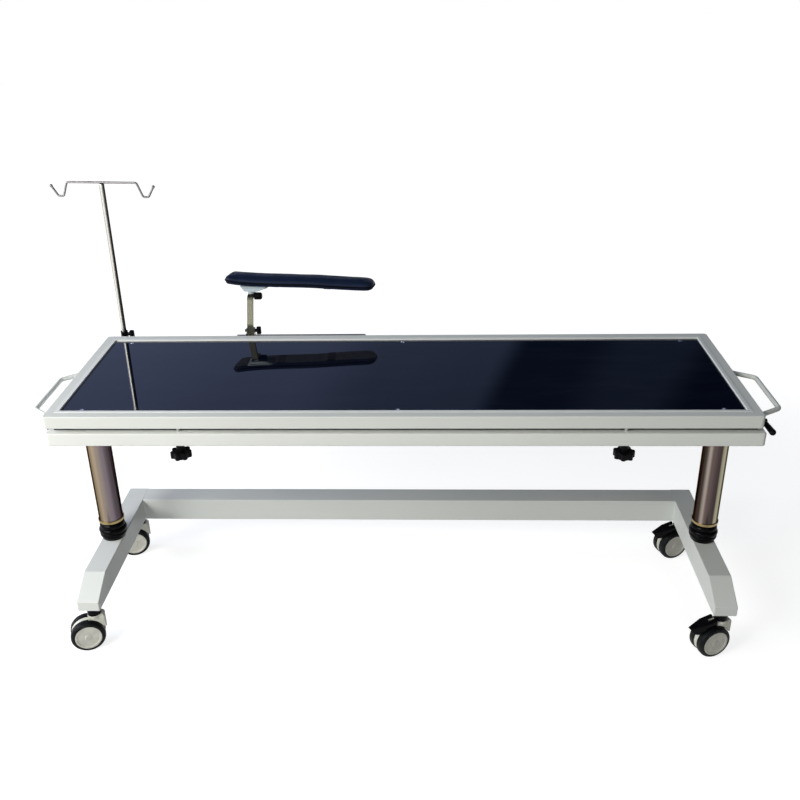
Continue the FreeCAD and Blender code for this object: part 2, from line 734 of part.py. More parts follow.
def make_board():
    inset = size("web_thick") + size("board_play")
    board_top = table_height - size("board_drop")
    thick = size("board_thick")
    body = new_body("Board")
    outline = new_sketch(body, "BoardOutline", "XY_Plane")
    rectangle(outline, -open_x + inset, open_x - inset, -open_y + inset, open_y - inset)
    slab = pad(body, "BoardPad", outline, thick)
    fillet(body, "BoardRound", slab, size("board_round"),
           lambda spot: abs(spot.z - thick.value) < TOUCH)
    drill = new_sketch(body, "BoardHoles", "XY_Plane", thick)
    for x, y in screw_places():
        circle(drill, x, y, size("screw_hole"))
    pocket(body, "BoardDrill", drill, thick)
    sink = new_sketch(body, "BoardSinks", "XY_Plane", thick)
    for x, y in screw_places():
        circle(sink, x, y, size("screw_head") + size("screw_play"))
    pocket(body, "BoardSink", sink, size("screw_head_high"))
    publish(place(body, 0, 0, board_top - thick), "board")
    seat_z = board_top - size("screw_head_high")
    screws = [make_screw(number, x, y, seat_z)
              for number, (x, y) in enumerate(screw_places())]
    group("board_screws", screws)


def make_screw(number, x, y, seat_z):
    """Screw whose head sits flush in the board."""
    name = "Screw%d" % number
    body = new_body(name)
    head = new_sketch(body, name + "Head", "XY_Plane")
    circle(head, ZERO, ZERO, size("screw_head"))
    rise = size("screw_head_high")
    head_pad = pad(body, name + "HeadPad", head, rise)
    fillet(body, name + "Round", head_pad, size("screw_recess"),
           lambda spot: spot.z > rise.value - TOUCH)
    socket = new_sketch(body, name + "Socket", "XY_Plane", rise)
    circle(socket, ZERO, ZERO, size("screw_socket"))
    pocket(body, name + "SocketCut", socket, size("screw_recess"))
    depth = size("board_thick") + size("ledge_thick") - rise
    shank = new_sketch(body, name + "Shank", "XY_Plane", -depth)
    circle(shank, ZERO, ZERO, size("screw_shank"))
    pad(body, name + "ShankPad", shank, depth)
    return place(body, x, y, seat_z)


def make_push_handles():
    """Bent tube loops; each end is cut flush with the frame's end face."""
    centre = size("grip_centre")
    root = size("grip_root_half")
    bar = size("grip_bar_half")
    inset = size("grip_inset")
    grip_z = table_height - size("grip_drop")
    for label, side in SIDES:
        name = "Grip" + label.capitalize()
        reach = size("grip_reach_" + label)
        slope = reach.value / (root.value - bar.value)
        ends = root.value + inset.value / slope
        points = [VECTOR(side * -inset.value, centre.value - ends, 0),
                  VECTOR(side * reach.value, centre.value - bar.value, 0),
                  VECTOR(side * reach.value, centre.value + bar.value, 0),
                  VECTOR(side * -inset.value, centre.value + ends, 0)]
        path = bent_path(points, size("grip_bend").value)
        section = round_section(name + "Section", size("grip_radius"),
                                points[0], points[1] - points[0])
        tube = sweep(name + "Tube", path, section)
        length = (inset + size("grip_radius")) * 2
        block = box(name + "Flush", length, top_width, rail_height)
        seat(block, length * (-1 if side > 0 else 0), half_width * -1,
             rail_height * -0.5)
        handle = cut(name, tube, block)
        publish(place(handle, half_length * side, 0, grip_z), "push_handle_" + label)


def make_runners():
    """Steel strips under the long rails and the glide strips they run on."""
    wide = size("runner_width")
    thick = size("runner_thick")
    long = size("runner_half")
    glide_wide = size("glide_width")
    glide_long = size("glide_half")
    glide_high = size("gap_height") - thick - size("glide_play")
    centre = open_y + size("glide_inset") + glide_wide * 0.5
    strips = []
    glides = []
    for row, side in (("Front", -1), ("Rear", 1)):
        strip = box("Runner" + row, long * 2, wide, thick)
        place(strip, -long, centre * side - wide * 0.5, upper_low - thick)
        strips.append(strip)
        glide = box("Glide" + row, glide_long * 2, glide_wide, glide_high)
        place(glide, lift_shift - glide_long, centre * side - glide_wide * 0.5,
              lower_high)
        glides.append(glide)
    group("runner_strips", strips)
    group("glide_blocks", glides)


def make_side_rail():
    left = size("side_rail_left")
    right = size("side_rail_right")
    thick = size("side_rail_thick")
    high = size("side_rail_high")
    low = side_rail_low
    out = half_width + size("standoff_long")
    body = new_body("SideRail")
    outline = new_sketch(body, "SideRailOutline", "XY_Plane")
    rectangle(outline, ZERO, right - left, ZERO, thick)
    bar = pad(body, "SideRailPad", outline, high)
    fillet(body, "SideRailRound", bar, size("side_rail_round"), lambda spot: True)
    publish(place(body, left, out, low), "side_rail")
    posts = []
    inset = size("standoff_inset")
    for label, x in (("Left", left + inset), ("Right", right - inset)):
        post = cylinder("Standoff" + label, size("standoff_radius"),
                        size("standoff_long"))
        posts.append(place(post, x, half_width, low + high * 0.5, X_AXIS, -90))
    group("rail_standoffs", posts)


# ---------------------------------------------------------------- lower frame

def make_lower_frame():
    front = long_rail("LowerFront", half_lower, lower_height)
    drill = new_sketch(front, "LowerFrontHoles", "XY_Plane", lower_height)
    for side in (-1, 1):
        circle(drill, size("knob_x") * side, ZERO,
               size("stud_radius") + size("stud_fit"))
    pocket(front, "LowerFrontDrill", drill, lower_height)
    publish(place(front, lift_shift, -rail_y, lower_low), "lower_rail_front")
    rear = long_rail("LowerRear", half_lower, lower_height)
    place(rear, lift_shift, rail_y, lower_low, Z_AXIS, 180)
    publish(rear, "lower_rail_rear")
    members = []
    wide = size("end_member_width")
    for label, side in SIDES:
        member = end_rail("EndMember" + label, wide, lower_height)
        members.append(place(member, half_lower * side + lift_shift, 0, lower_low,
                             Z_AXIS, 90 + 90 * side))
    group("lower_end_members", members)
    bars = []
    for label, side in SIDES:
        bar = end_rail("MidMember" + label, size("mid_member_width"), lower_height)
        centre = size("mid_member_place") * side + size("mid_member_width") * 0.5 * side
        bars.append(place(bar, centre + lift_shift, 0, lower_low,
                          Z_AXIS, 90 + 90 * side))
    group("lower_mid_members", bars)


def make_lever_bearings():
    """Blocks on the lower frame's ends that carry the lock lever shafts."""
    long = size("bearing_long")
    deep = size("bearing_deep")
    shaft_z = table_height - size("lever_drop")
    high = size("gap_height") - size("bearing_play")
    blocks = []
    for label, side in SIDES:
        name = "Bearing" + label.capitalize()
        block = box(name + "Block", deep, long, high)
        seat(block, deep * -0.5, long * -0.5, 0)
        bore = cylinder(name + "Bore", size("lever_shaft") + size("lever_fit"), deep * 2)
        seat(bore, -deep, 0, shaft_z - lower_high, Y_AXIS, 90)
        piece = cut(name, block, bore)
        centre = half_lower - size("bearing_inset") - deep * 0.5
        blocks.append(place(piece, centre * side + lift_shift, size("lever_y"),
                            lower_high))
    group("lever_bearings", blocks)


def make_lock_levers():
    """Shaft along X, hub and a grip that widens to its rounded tip."""
    reach = size("lever_reach")
    flare = size("lever_flare")
    hub_long = size("lever_hub_long")
    shaft_in = size("lever_shaft_in")
    gap = size("lever_gap")
    tip_radius = size("lever_tip")
    long = math.hypot(reach.value, flare.value)
    for label, side in SIDES:
        name = "Lever" + label.capitalize()
        aim = VECTOR(side * flare.value, -reach.value, 0)
        shaft = cylinder(name + "Shaft", size("lever_shaft"), shaft_in + gap + hub_long)
        seat(shaft, -shaft_in, 0, 0, Y_AXIS, 90)
        hub = cylinder(name + "Hub", size("lever_hub"), hub_long)
        seat(hub, gap, 0, 0, Y_AXIS, 90)
        centre = (gap + hub_long * 0.5) * side
        grip = DOC.addObject("Part::Cone", name + "Grip")
        bind(grip, "Radius1", size("lever_root"))
        bind(grip, "Radius2", tip_radius)
        grip.Height = long
        base = VECTOR(centre.value, 0, 0)
        grip.Placement = FreeCAD.Placement(base, FreeCAD.Rotation(Z_AXIS, aim))
        tip = DOC.addObject("Part::Sphere", name + "Tip")
        bind(tip, "Radius", tip_radius)
        tip.Placement = FreeCAD.Placement(base + aim, FreeCAD.Rotation())
        if side < 0:
            seat(shaft, -(gap + hub_long), 0, 0, Y_AXIS, 90)
            seat(hub, -(gap + hub_long), 0, 0, Y_AXIS, 90)
        lever = fuse(name, [shaft, hub, grip, tip])
        down = size("lever_%s_down" % label)
        place(lever, half_lower * side + lift_shift, size("lever_y"),
              table_height - size("lever_drop"), X_AXIS, down.value)
        publish(lever, "lock_lever_" + label)


def make_clamp_knobs():
    """Seven-lobed knobs on studs that rise through the lower front rail."""
    knob_low = lower_low - size("knob_drop")
    high = size("knob_high")
    hub_top = lower_low - size("knob_hub_gap")
    stud_top = upper_low - size("stud_gap")
    for label, side in SIDES:
        name = "Knob" + label.capitalize()
        body = new_body(name)
        disc = new_sketch(body, name + "Disc", "XY_Plane")
        circle(disc, ZERO, ZERO, size("knob_core"))
        pad(body, name + "DiscPad", disc, high)
        lobe = new_sketch(body, name + "Lobe", "XY_Plane")
        circle(lobe, size("knob_lobe_at"), ZERO, size("knob_lobe"))
        lobe_pad = pad(body, name + "LobePad", lobe, high)
        DOC.recompute()
        lobes = body.newObject("PartDesign::PolarPattern", name + "Lobes")
        lobes.Originals = [lobe_pad]
        lobes.Axis = (plane_of(body, "Z_Axis"), [""])
        lobes.Angle = FULL_TURN
        bind(lobes, "Occurrences", size("knob_lobes"))
        body.Tip = lobes
        fillet(body, name + "Round", lobes, size("knob_round"),
               lambda spot: spot.z < TOUCH or spot.z > high.value - TOUCH)
        hub = new_sketch(body, name + "Hub", "XY_Plane", high)
        circle(hub, ZERO, ZERO, size("knob_hub"))
        pad(body, name + "HubPad", hub, hub_top - knob_low - high)
        stud = new_sketch(body, name + "Stud", "XY_Plane", high)
        circle(stud, ZERO, ZERO, size("stud_radius"))
        pad(body, name + "StudPad", stud, stud_top - knob_low - high)
        place(body, size("knob_x") * side + lift_shift, -rail_y, knob_low)
        publish(body, "clamp_knob_" + label)


# ---------------------------------------------------------------- columns

def make_columns():
    tube_low = bush_bottom + size("bush_high")
    head_low = lower_low - size("head_thick")
    tube_radius = size("tube_radius")
    core_radius = size("core_radius")
    core_top = head_low - size("core_short")
    bushes = []
    heads = []
    cores = []
    for label, side in SIDES:
        x = column_at(side)
        tube = ring("Tube" + label, tube_radius, tube_radius - size("tube_wall"),
                    head_low - tube_low)
        publish(place(tube, x, column_y, tube_low), "column_tube_" + label)
        bush = ring("Bush" + label, tube_radius + size("bush_rim"),
                    core_radius + size("bush_fit"), size("bush_high"))
        bushes.append(place(bush, x, column_y, bush_bottom))
        core = ring("Core" + label, core_radius, core_radius - size("core_wall"),
                    core_top - leg_top)
        cores.append(place(core, x, column_y, leg_top))
        heads.append(make_column_head(label, side, head_low))
    group("column_bushes", bushes)
    group("column_cores", cores)
    group("column_heads", heads)


def make_column_head(label, side, head_low):
    """Plate between a tube and the lower frame, with four bolt heads."""
    name = "Head" + label.capitalize()
    body = new_body(name)
    wide = (half_lower - size("column_x")) * 2
    long = size("head_long")
    outline = new_sketch(body, name + "Outline", "XY_Plane")
    rectangle(outline, wide * -0.5, wide * 0.5, long * -0.5, long * 0.5)
    pad(body, name + "Pad", outline, size("head_thick"))
    bolts = new_sketch(body, name + "Bolts", "XY_Plane", -size("head_bolt_rise"))
    for x in (-size("head_bolt_x"), size("head_bolt_x")):
        for y in (-size("head_bolt_y"), size("head_bolt_y")):
            circle(bolts, x, y, size("head_bolt"))
    pad(body, name + "BoltPad", bolts, size("head_bolt_rise"))
    return place(body, column_at(side), column_y, head_low)


def make_bellows():
    """Rubber sleeve, narrow at the top, with three soft ridges."""
    inner = size("bellows_inner").value
    foot = size("bellows_foot").value
    neck = size("bellows_neck").value
    groove = size("bellows_groove").value
    collar = size("bellows_collar").value
    play = size("bellows_play")
    low = leg_top + play
    total = (bush_bottom - play - low).value
    crests = [size("bellows_" + word).value for word in ("low", "mid", "high")]
    pitch = (total - collar * 2.0) / len(crests)
    valleys = [foot]
    for below, above in zip(crests, crests[1:]):
        valleys.append(min(below, above) - groove)
    valleys.append(neck)
    for label, side in SIDES:
        edge = Part.LineSegment(VECTOR(inner, 0, 0), VECTOR(foot, 0, 0))
        shapes = [edge.toShape()]
        edge = Part.LineSegment(VECTOR(foot, 0, 0), VECTOR(foot, 0, collar))
        shapes.append(edge.toShape())
        z = collar
        for crest, below, above in zip(crests, valleys, valleys[1:]):
            first = VECTOR(below, 0, z)
            top = VECTOR(crest, 0, z + pitch / 2.0)
            last = VECTOR(above, 0, z + pitch)
            shapes.append(Part.Arc(first, top, last).toShape())
            z += pitch
        rest = [VECTOR(neck, 0, z), VECTOR(neck, 0, total),
                VECTOR(inner, 0, total), VECTOR(inner, 0, 0)]
        for a, b in zip(rest, rest[1:]):
            shapes.append(Part.LineSegment(a, b).toShape())
        face = Part.Face(Part.Wire(shapes))
        item = DOC.addObject("Part::Feature", "Bellows" + label)
        item.Shape = face.revolve(VECTOR(0, 0, 0), Z_AXIS, FULL_TURN)
        place(item, column_at(side), column_y, low)
        publish(item, "bellows_" + label)


# ---------------------------------------------------------------- base

def make_base():
    leg_wide = size("leg_wide")
    wall = size("leg_wall")
    high = size("leg_high")
    rear = size("leg_rear")
    bend = size("leg_bend")
    toe = size("leg_toe")
    toe_high = size("toe_high")
    for label, side in SIDES:
        name = "Leg" + label.capitalize()
        body = new_body(name)
        outline = new_sketch(body, name + "Outline", "YZ_Plane", leg_wide * -0.5)
        polygon(outline, [(toe, ZERO), (rear, ZERO), (rear, high),
                          (bend, high), (toe, toe_high)])
        solid = pad(body, name + "Pad", outline, leg_wide)
        edge = leg_wide.value / 2.0 - TOUCH
        fillet(body, name + "Round", solid, size("leg_round"),
               lambda spot: abs(spot.x) > edge or spot.y < toe.value + TOUCH)
        inside = new_sketch(body, name + "Inside", "YZ_Plane", leg_wide * 0.5 - wall)
        polygon(inside, [(toe + wall, wall), (rear - wall, wall),
                         (rear - wall, high - wall), (bend, high - wall),
                         (toe + wall, toe_high - wall)])
        pocket(body, name + "Hollow", inside, leg_wide - wall * 2)
        publish(place(body, column_at(side), 0, leg_low), "base_leg_" + label)
    wide = size("crossbar_wide")
    long = (size("column_x") - leg_wide * 0.5) * 2
    end = long.value / 2.0 - TOUCH
    bar = hollow_bar("Crossbar", long, wide, high, wall, size("leg_round"),
                     lambda spot: abs(spot.x) < end)
    publish(place(bar, lift_shift, rear - wide * 0.5, leg_low), "base_crossbar")


# ---------------------------------------------------------------- castors

CASTORS = (
    ("front_left", -1, "stem_front", False),
    ("front_right", 1, "stem_front", True),
    ("rear_left", -1, "stem_rear", False),
    ("rear_right", 1, "stem_rear", True),
)


def make_collars():
    collars = []
    collar_low = leg_low - size("collar_high")
    for label, side, stem, braked in CASTORS:
        collar = ring("Collar_" + label, size("collar_radius"),
                      size("stem_radius") + size("stem_fit"), size("collar_high"))
        collars.append(place(collar, column_at(side), size(stem), collar_low))
    group("castor_collars", collars)


def make_hood(name, braked):
    """Castor housing: web between the wheels, fender over them, round boss."""
    trail = size("wheel_trail")
    half = size("web_half")
    radius = size("wheel_radius")
    web_radius = radius - size("web_short")
    neck_top = leg_low - size("collar_high") - size("swivel_play")
    web = cylinder(name + "Web", web_radius, half * 2)
    seat(web, -trail, half, radius, X_AXIS, 90)
    floor = size("web_floor")
    trim = box(name + "Trim", web_radius * 2, half * 4, floor)
    seat(trim, -trail - web_radius, half * -2, 0)
    web_cut = cut(name + "WebCut", web, trim)
    stem = cylinder(name + "Stem", size("stem_radius"), size("collar_high"))
    seat(stem, 0, 0, neck_top)
    boss = cylinder(name + "Boss", size("boss_round"), size("boss_high"))
    seat(boss, 0, 0, neck_top - size("boss_high"))
    fender = make_fender(name + "Fender", neck_top)
    pieces = [web_cut, stem, boss, fender]
    if braked:
        hinge_z = wheel_top + size("hinge_rise")
        lug_low = hinge_z - size("lug_drop")
        lug = box(name + "Lug", size("fender_back") - size("lug_far") + TOUCH,
                  half * 2, neck_top - lug_low)
        seat(lug, size("lug_far"), -half, lug_low)
        pin = cylinder(name + "Hinge", size("hinge_pin"), size("hinge_half") * 2)
        seat(pin, size("hinge_x"), size("hinge_half"), hinge_z, X_AXIS, 90)
        pieces += [lug, pin]
    body = fuse(name + "Body", pieces)
    bore = cylinder(name + "Bore", size("axle_radius") + size("axle_fit"), half * 4)
    seat(bore, -trail, half * 2, radius, X_AXIS, 90)
    return cut(name, body, bore)


def make_fender(name, neck_top):
    """Block over the wheels, hollowed on both sides to clear the tyres."""
    half = size("fender_half")
    radius = size("wheel_radius")
    front = size("fender_front")
    back = size("fender_back")
    slope = size("fender_slope")
    body = new_body(name)
    outline = new_sketch(body, name + "Outline", "XZ_Plane", half * -1)
    polygon(outline, [
        (back, radius + size("fender_root")), (front, radius + size("fender_low")),
        (front, neck_top - slope), (front - slope, neck_top), (back, neck_top)])
    block = pad(body, name + "Pad", outline, half * 2)
    rim = half.value - TOUCH
    low = (neck_top - slope).value / 2.0 + (radius + size("fender_low")).value / 2.0
    fillet(body, name + "Round", block, size("fender_round"),
           lambda spot: abs(spot.y) > rim and spot.z > low - TOUCH
           and spot.x > back.value + TOUCH)
    web = size("web_half")
    clear = radius + size("wheel_play")
    tools = []
    for label, start in (("Near", -web), ("Far", web + half)):
        tool = cylinder(name + label, clear, half)
        tools.append(seat(tool, -size("wheel_trail"), start, radius, X_AXIS, 90))
    return cut(name + "Cut", body, fuse(name + "Tools", tools))


def make_wheel_core(name):
    """Both wheel discs on their common axle, turned about Y."""
    half = size("web_half") + size("wheel_play")
    outer = half + size("tyre_width")
    disc = size("core_disc")
    recess = size("disc_recess")
    flat = size("disc_flat")
    hub = size("disc_hub")
    axle = size("axle_radius")
    body = new_body(name)
    outline = new_sketch(body, name + "Outline", "YZ_Plane")
    side = [(half, axle), (half, disc), (outer, disc), (outer, flat + recess),
            (outer - recess, flat), (outer - recess, hub + recess), (outer, hub),
            (outer, ZERO)]
    other = [(-y, z) for y, z in reversed(side)]
    polygon(outline, side + other)
    turn = body.newObject("PartDesign::Revolution", name + "Turn")
    turn.Profile = outline
    turn.ReferenceAxis = (outline, ["H_Axis"])
    turn.Angle = FULL_TURN
    return body


def make_tyres(name, place_at, turn):
    """Two treads; the outer shoulder of each is rounder than the inner one."""
    wide = size("tyre_width")
    radius = size("wheel_radius")
    inner = size("web_half") + size("wheel_play")
    tyres = []
    for label, start, outer_low in (("A", inner, True), ("B", -inner - wide, False)):
        full = cylinder(name + label + "Full", radius, wide)
        middle_z = wide.value / 2.0
        soft = rounded(name + label + "Soft", full, size("tyre_round"),
                       lambda spot: (spot.z < middle_z) == outer_low)
        trimmed = rounded(name + label + "Trim", soft, size("tyre_inner_round"),
                          lambda spot: abs(spot.z - (wide.value if outer_low else 0.0))
                          < TOUCH)
        hole = cylinder(name + label + "Hole", size("core_disc"), wide)
        tyre = cut(name + label, trimmed, hole)
        tyre.Placement = FreeCAD.Placement(VECTOR(0, start.value + wide.value, 0),
                                           FreeCAD.Rotation(X_AXIS, 90))
        tyres.append(tyre)
    item = DOC.addObject("Part::Compound", name)
    item.Links = tyres
    return place(item, *place_at, Z_AXIS, turn)


def make_pedal(name):
    """Cover over both wheels, hollowed round them and forked round its lug."""
    half = size("pedal_half")
    start = size("pedal_start")
    ridge = size("pedal_ridge")
    tip = size("pedal_tip")
    back = wheel_top + size("pedal_back")
    tip_top = wheel_top + size("pedal_tip_rise")
    belly = wheel_top - size("pedal_belly_drop")
    side_body = new_body(name + "Side")
    profile = new_sketch(side_body, name + "Profile", "XZ_Plane", half * -1)
    polygon(profile, [
        (start, belly), (start, back), (ridge, wheel_top + size("pedal_ridge_rise")),
        (tip, tip_top), (tip, tip_top - size("pedal_tip_thick")),
        (size("pedal_belly"), belly)])
    pad(side_body, name + "SidePad", profile, half * 2)
    plan_body = new_body(name + "Plan")
    plan = new_sketch(plan_body, name + "Outline", "XY_Plane")
    tip_half = size("pedal_tip_half")
    polygon(plan, [(start, -half), (start, half), (ridge, half),
                   (tip, tip_half), (tip, -tip_half), (ridge, -half)])
    pad(plan_body, name + "PlanPad", plan, back * 2)
    block = DOC.addObject("Part::MultiCommon", name + "Block")
    block.Shapes = [side_body, plan_body]
    top_edge = tip_half.value - TOUCH
    soft = rounded(name + "Soft", block, size("pedal_round"),
                   lambda spot: abs(spot.y) > top_edge and spot.z > tip_top.value
                   and spot.x < start.value - TOUCH)
    wheel = cylinder(name + "Wheel", size("wheel_radius") + size("pedal_gap"), half * 4)
    seat(wheel, -size("wheel_trail"), half * 2, size("wheel_radius"), X_AXIS, 90)
    slot_long = start - size("pedal_slot_end") + TOUCH
    slot = box(name + "Slot", slot_long, size("pedal_slot"), back * 2)
    seat(slot, size("pedal_slot_end"), size("pedal_slot") * -0.5, 0)
    bore = cylinder(name + "Bore", size("hinge_pin") + size("hinge_fit"), half * 4)
    seat(bore, size("hinge_x"), half * 2, wheel_top + size("hinge_rise"), X_AXIS, 90)
    return cut(name, soft, fuse(name + "Tools", [wheel, slot, bore]))


def make_castors():
    turn = size("castor_turn").value
    trail = size("wheel_trail")
    radius = size("wheel_radius")
    away = math.radians(turn)
    for label, side, stem, braked in CASTORS:
        name = "Castor_" + label
        x = column_at(side)
        y = size(stem)
        hood = make_hood(name + "Hood", braked)
        publish(place(hood, x, y, 0, Z_AXIS, turn), "castor_hood_" + label)
        wheel_x = x - trail * math.cos(away)
        wheel_y = y - trail * math.sin(away)
        core = make_wheel_core(name + "Core")
        place(core, wheel_x, wheel_y, radius, Z_AXIS, turn)
        publish(core, "castor_wheels_" + label)
        tyres = make_tyres(name + "Tyres", (wheel_x, wheel_y, radius), turn)
        publish(tyres, "castor_tyres_" + label)
        if braked:
            pedal = make_pedal(name + "Pedal")
            publish(place(pedal, x, y, 0, Z_AXIS, turn), "brake_pedal_" + label)


# ---------------------------------------------------------------- infusion pole

def make_thumb_screw(name):
    """Wing screw along +X; its shank reaches back into the seat at x = 0."""
    gap = size("thumb_gap")
    depth = size("thumb_in")
    hub_long = size("thumb_hub_long")
    wing_long = size("thumb_wing_long")
    shank = cylinder(name + "Shank", size("thumb_stud"), depth + gap + hub_long)
    seat(shank, -depth, 0, 0, Y_AXIS, 90)
    hub = cylinder(name + "Hub", size("thumb_hub"), hub_long + wing_long * 0.5)
    seat(hub, gap, 0, 0, Y_AXIS, 90)
    wing = box(name + "Wing", wing_long, size("thumb_wing_thick"), size("thumb_wing") * 2)
    seat(wing, gap + hub_long, size("thumb_wing_thick") * -0.5, -size("thumb_wing"))
    soft = rounded(name + "WingSoft", wing, size("thumb_wing_round"),
                   lambda spot: abs(spot.y) < TOUCH)
    return fuse(name, [shank, hub, soft])


def make_pole():
    radius = size("pole_radius")
    socket_low = table_height - size("socket_fall")
    socket_high = table_height + size("socket_rise")
    knob_z = table_height - size("pole_knob_drop")
    sleeve = cylinder("SocketSleeve", size("socket_radius"), socket_high - socket_low)
    seat(sleeve, 0, 0, socket_low)
    arm_long = size("pole_out")
    arm = box("SocketArm", size("bracket_half") * 2, arm_long, size("bracket_high"))
    seat(arm, -size("bracket_half"), -arm_long, table_height - size("bracket_fall"))
    outer = fuse("SocketOuter", [sleeve, arm])
    bore = cylinder("SocketBore", radius + size("pole_fit"), socket_high)
    side_hole = cylinder("SocketSideHole", size("thumb_stud") + size("thumb_fit"),
                         size("socket_radius") * 2)
    seat(side_hole, 0, 0, knob_z, Y_AXIS, 90)
    tools = fuse("SocketTools", [bore, side_hole])
    socket = cut("Socket", outer, tools)
    publish(place(socket, pole_x, pole_y, 0), "pole_socket")

    low = table_height - size("pole_fall")
    high = table_height + size("pole_rise")
    rod = new_body("Pole")
    outline = new_sketch(rod, "PoleOutline", "XY_Plane")
    circle(outline, ZERO, ZERO, radius)
    shaft = pad(rod, "PolePad", outline, high - low)
    fillet(rod, "PoleRound", shaft, size("pole_cap_round"),
           lambda spot: spot.z > (high - low).value - TOUCH)
    publish(place(rod, pole_x, pole_y, low), "infusion_pole")
    make_hooks(high)

    knob = make_thumb_screw("PoleKnob")
    place(knob, pole_x + size("socket_radius"), pole_y, knob_z)
    publish(knob, "pole_knob")


def make_hooks(pole_top):
    """Bent wire bar welded on the pole's top, with a ball at each tip."""
    wire = size("hook_wire")
    depth = -size("hook_depth").value
    outline = [
        (-size("hook_tip").value, -size("hook_tip_drop").value),
        (-size("hook_low_out").value, depth),
        (-size("hook_low_in").value, depth),
        (-size("hook_shoulder").value, 0.0),
    ]
    outline += [(-a, b) for a, b in reversed(outline)]
    points = [VECTOR(a, 0, b) for a, b in outline]
    path = bent_path(points, size("hook_bend").value)
    section = round_section("HookSection", wire, points[0], points[1] - points[0])
    bar = sweep("HookBar", path, section)
    balls = []
    for label, spot in (("Left", points[0]), ("Right", points[-1])):
        ball = DOC.addObject("Part::Sphere", "HookBall" + label)
        bind(ball, "Radius", size("hook_ball"))
        ball.Placement = FreeCAD.Placement(spot, FreeCAD.Rotation())
        balls.append(ball)
    hooks = fuse("Hooks", [bar] + balls)
    place(hooks, pole_x, pole_y, pole_top + wire, Z_AXIS, size("hook_turn").value)
    publish(hooks, "pole_hooks")


# ---------------------------------------------------------------- arm rest

def make_arm_clamp():
    """Hooks round the side rail and holds the post against its outer face."""
    x = size("arm_x")
    half = size("clamp_half")
    low = side_rail_low - size("clamp_foot")
    high = side_rail_top + size("clamp_neck")
    play = size("clamp_play")
    lip_high = size("clamp_lip_high")
    lip_back = half_width + size("standoff_long") - play
    front = lip_back - size("clamp_lip")
    post_back = post_y + size("post_thick") * 0.5 + play
    back = post_back + size("clamp_back")
    hook_top = side_rail_top + size("clamp_hook")
    screw_z = side_rail_top + size("clamp_screw_rise")
    body = new_body("ArmClamp")
    outline = new_sketch(body, "ArmClampOutline", "YZ_Plane", -half)
    polygon(outline, [
        (front, low), (back, low), (back, high), (slot_back, high),
        (slot_back, hook_top), (front, hook_top), (front, side_rail_top - lip_high),
        (lip_back, side_rail_top - lip_high), (lip_back, side_rail_top + play),
        (slot_back, side_rail_top + play), (slot_back, side_rail_low - play),
        (lip_back, side_rail_low - play), (lip_back, side_rail_low + lip_high),
        (front, side_rail_low + lip_high)])
    pad(body, "ArmClampPad", outline, half * 2)
    channel = new_sketch(body, "ArmClampChannel", "XY_Plane", high)
    side = size("post_wide") * 0.5 + play
    rectangle(channel, -side, side, slot_back - TOUCH, post_back)
    pocket(body, "ArmClampChannelCut", channel, high - low)
    hole = new_sketch(body, "ArmClampHole", "YZ_Plane", half)
    circle(hole, post_y, screw_z, size("thumb_stud") + size("thumb_fit"))
    pocket(body, "ArmClampHoleCut", hole, half - side)
    cap = new_sketch(body, "ArmClampCap", "YZ_Plane", -half - size("clamp_cap_long"))
    circle(cap, post_y, screw_z, size("clamp_cap_radius"))
    pad(body, "ArmClampCapPad", cap, size("clamp_cap_long"))
    publish(place(body, x, 0, 0), "arm_clamp")
    screw = make_thumb_screw("ArmClampScrew")
    place(screw, x + half, post_y, screw_z)
    publish(screw, "arm_clamp_screw")


def make_arm_post():
    """Flat bar: upright in the clamp, leaning back, then level under the swivel."""
    foot_z = table_height - size("post_fall")
    end_z = table_height + size("post_end")
    spots = [(post_y, foot_z), (post_y, table_height + size("post_knee")),
             (post_y + size("post_lean"), table_height + size("post_elbow")),
             (post_y + size("post_reach"), end_z)]
    path = bent_path([VECTOR(0, y.value, z.value) for y, z in spots],
                     size("post_bend").value)
    section = DOC.addObject("Part::Plane", "PostSection")
    bind(section, "Length", size("post_wide"))
    bind(section, "Width", size("post_thick"))
    seat(section, size("post_wide") * -0.5, post_y - size("post_thick") * 0.5, foot_z)
    bar = sweep("PostBar", path, section)
    hole = cylinder("PostHole", size("pivot_pin") + size("pivot_fit"),
                    size("pivot_pin_deep") * 2)
    post_top = end_z + size("post_thick") * 0.5
    seat(hole, 0, post_y + size("pivot_reach"),
         post_top - size("pivot_pin_deep") - size("pivot_gap"))
    side_hole = cylinder("PostSideHole", size("arm_knob_pin") + size("thumb_fit"),
                         size("arm_knob_seat") * 2)
    seat(side_hole, size("post_wide") * 0.5 - size("arm_knob_seat"),
         post_y + size("arm_knob_reach"), end_z, Y_AXIS, 90)
    tools = fuse("PostTools", [hole, side_hole])
    post = cut("Post", bar, tools)
    publish(place(post, size("arm_x"), 0, 0), "arm_post")
    return post_top


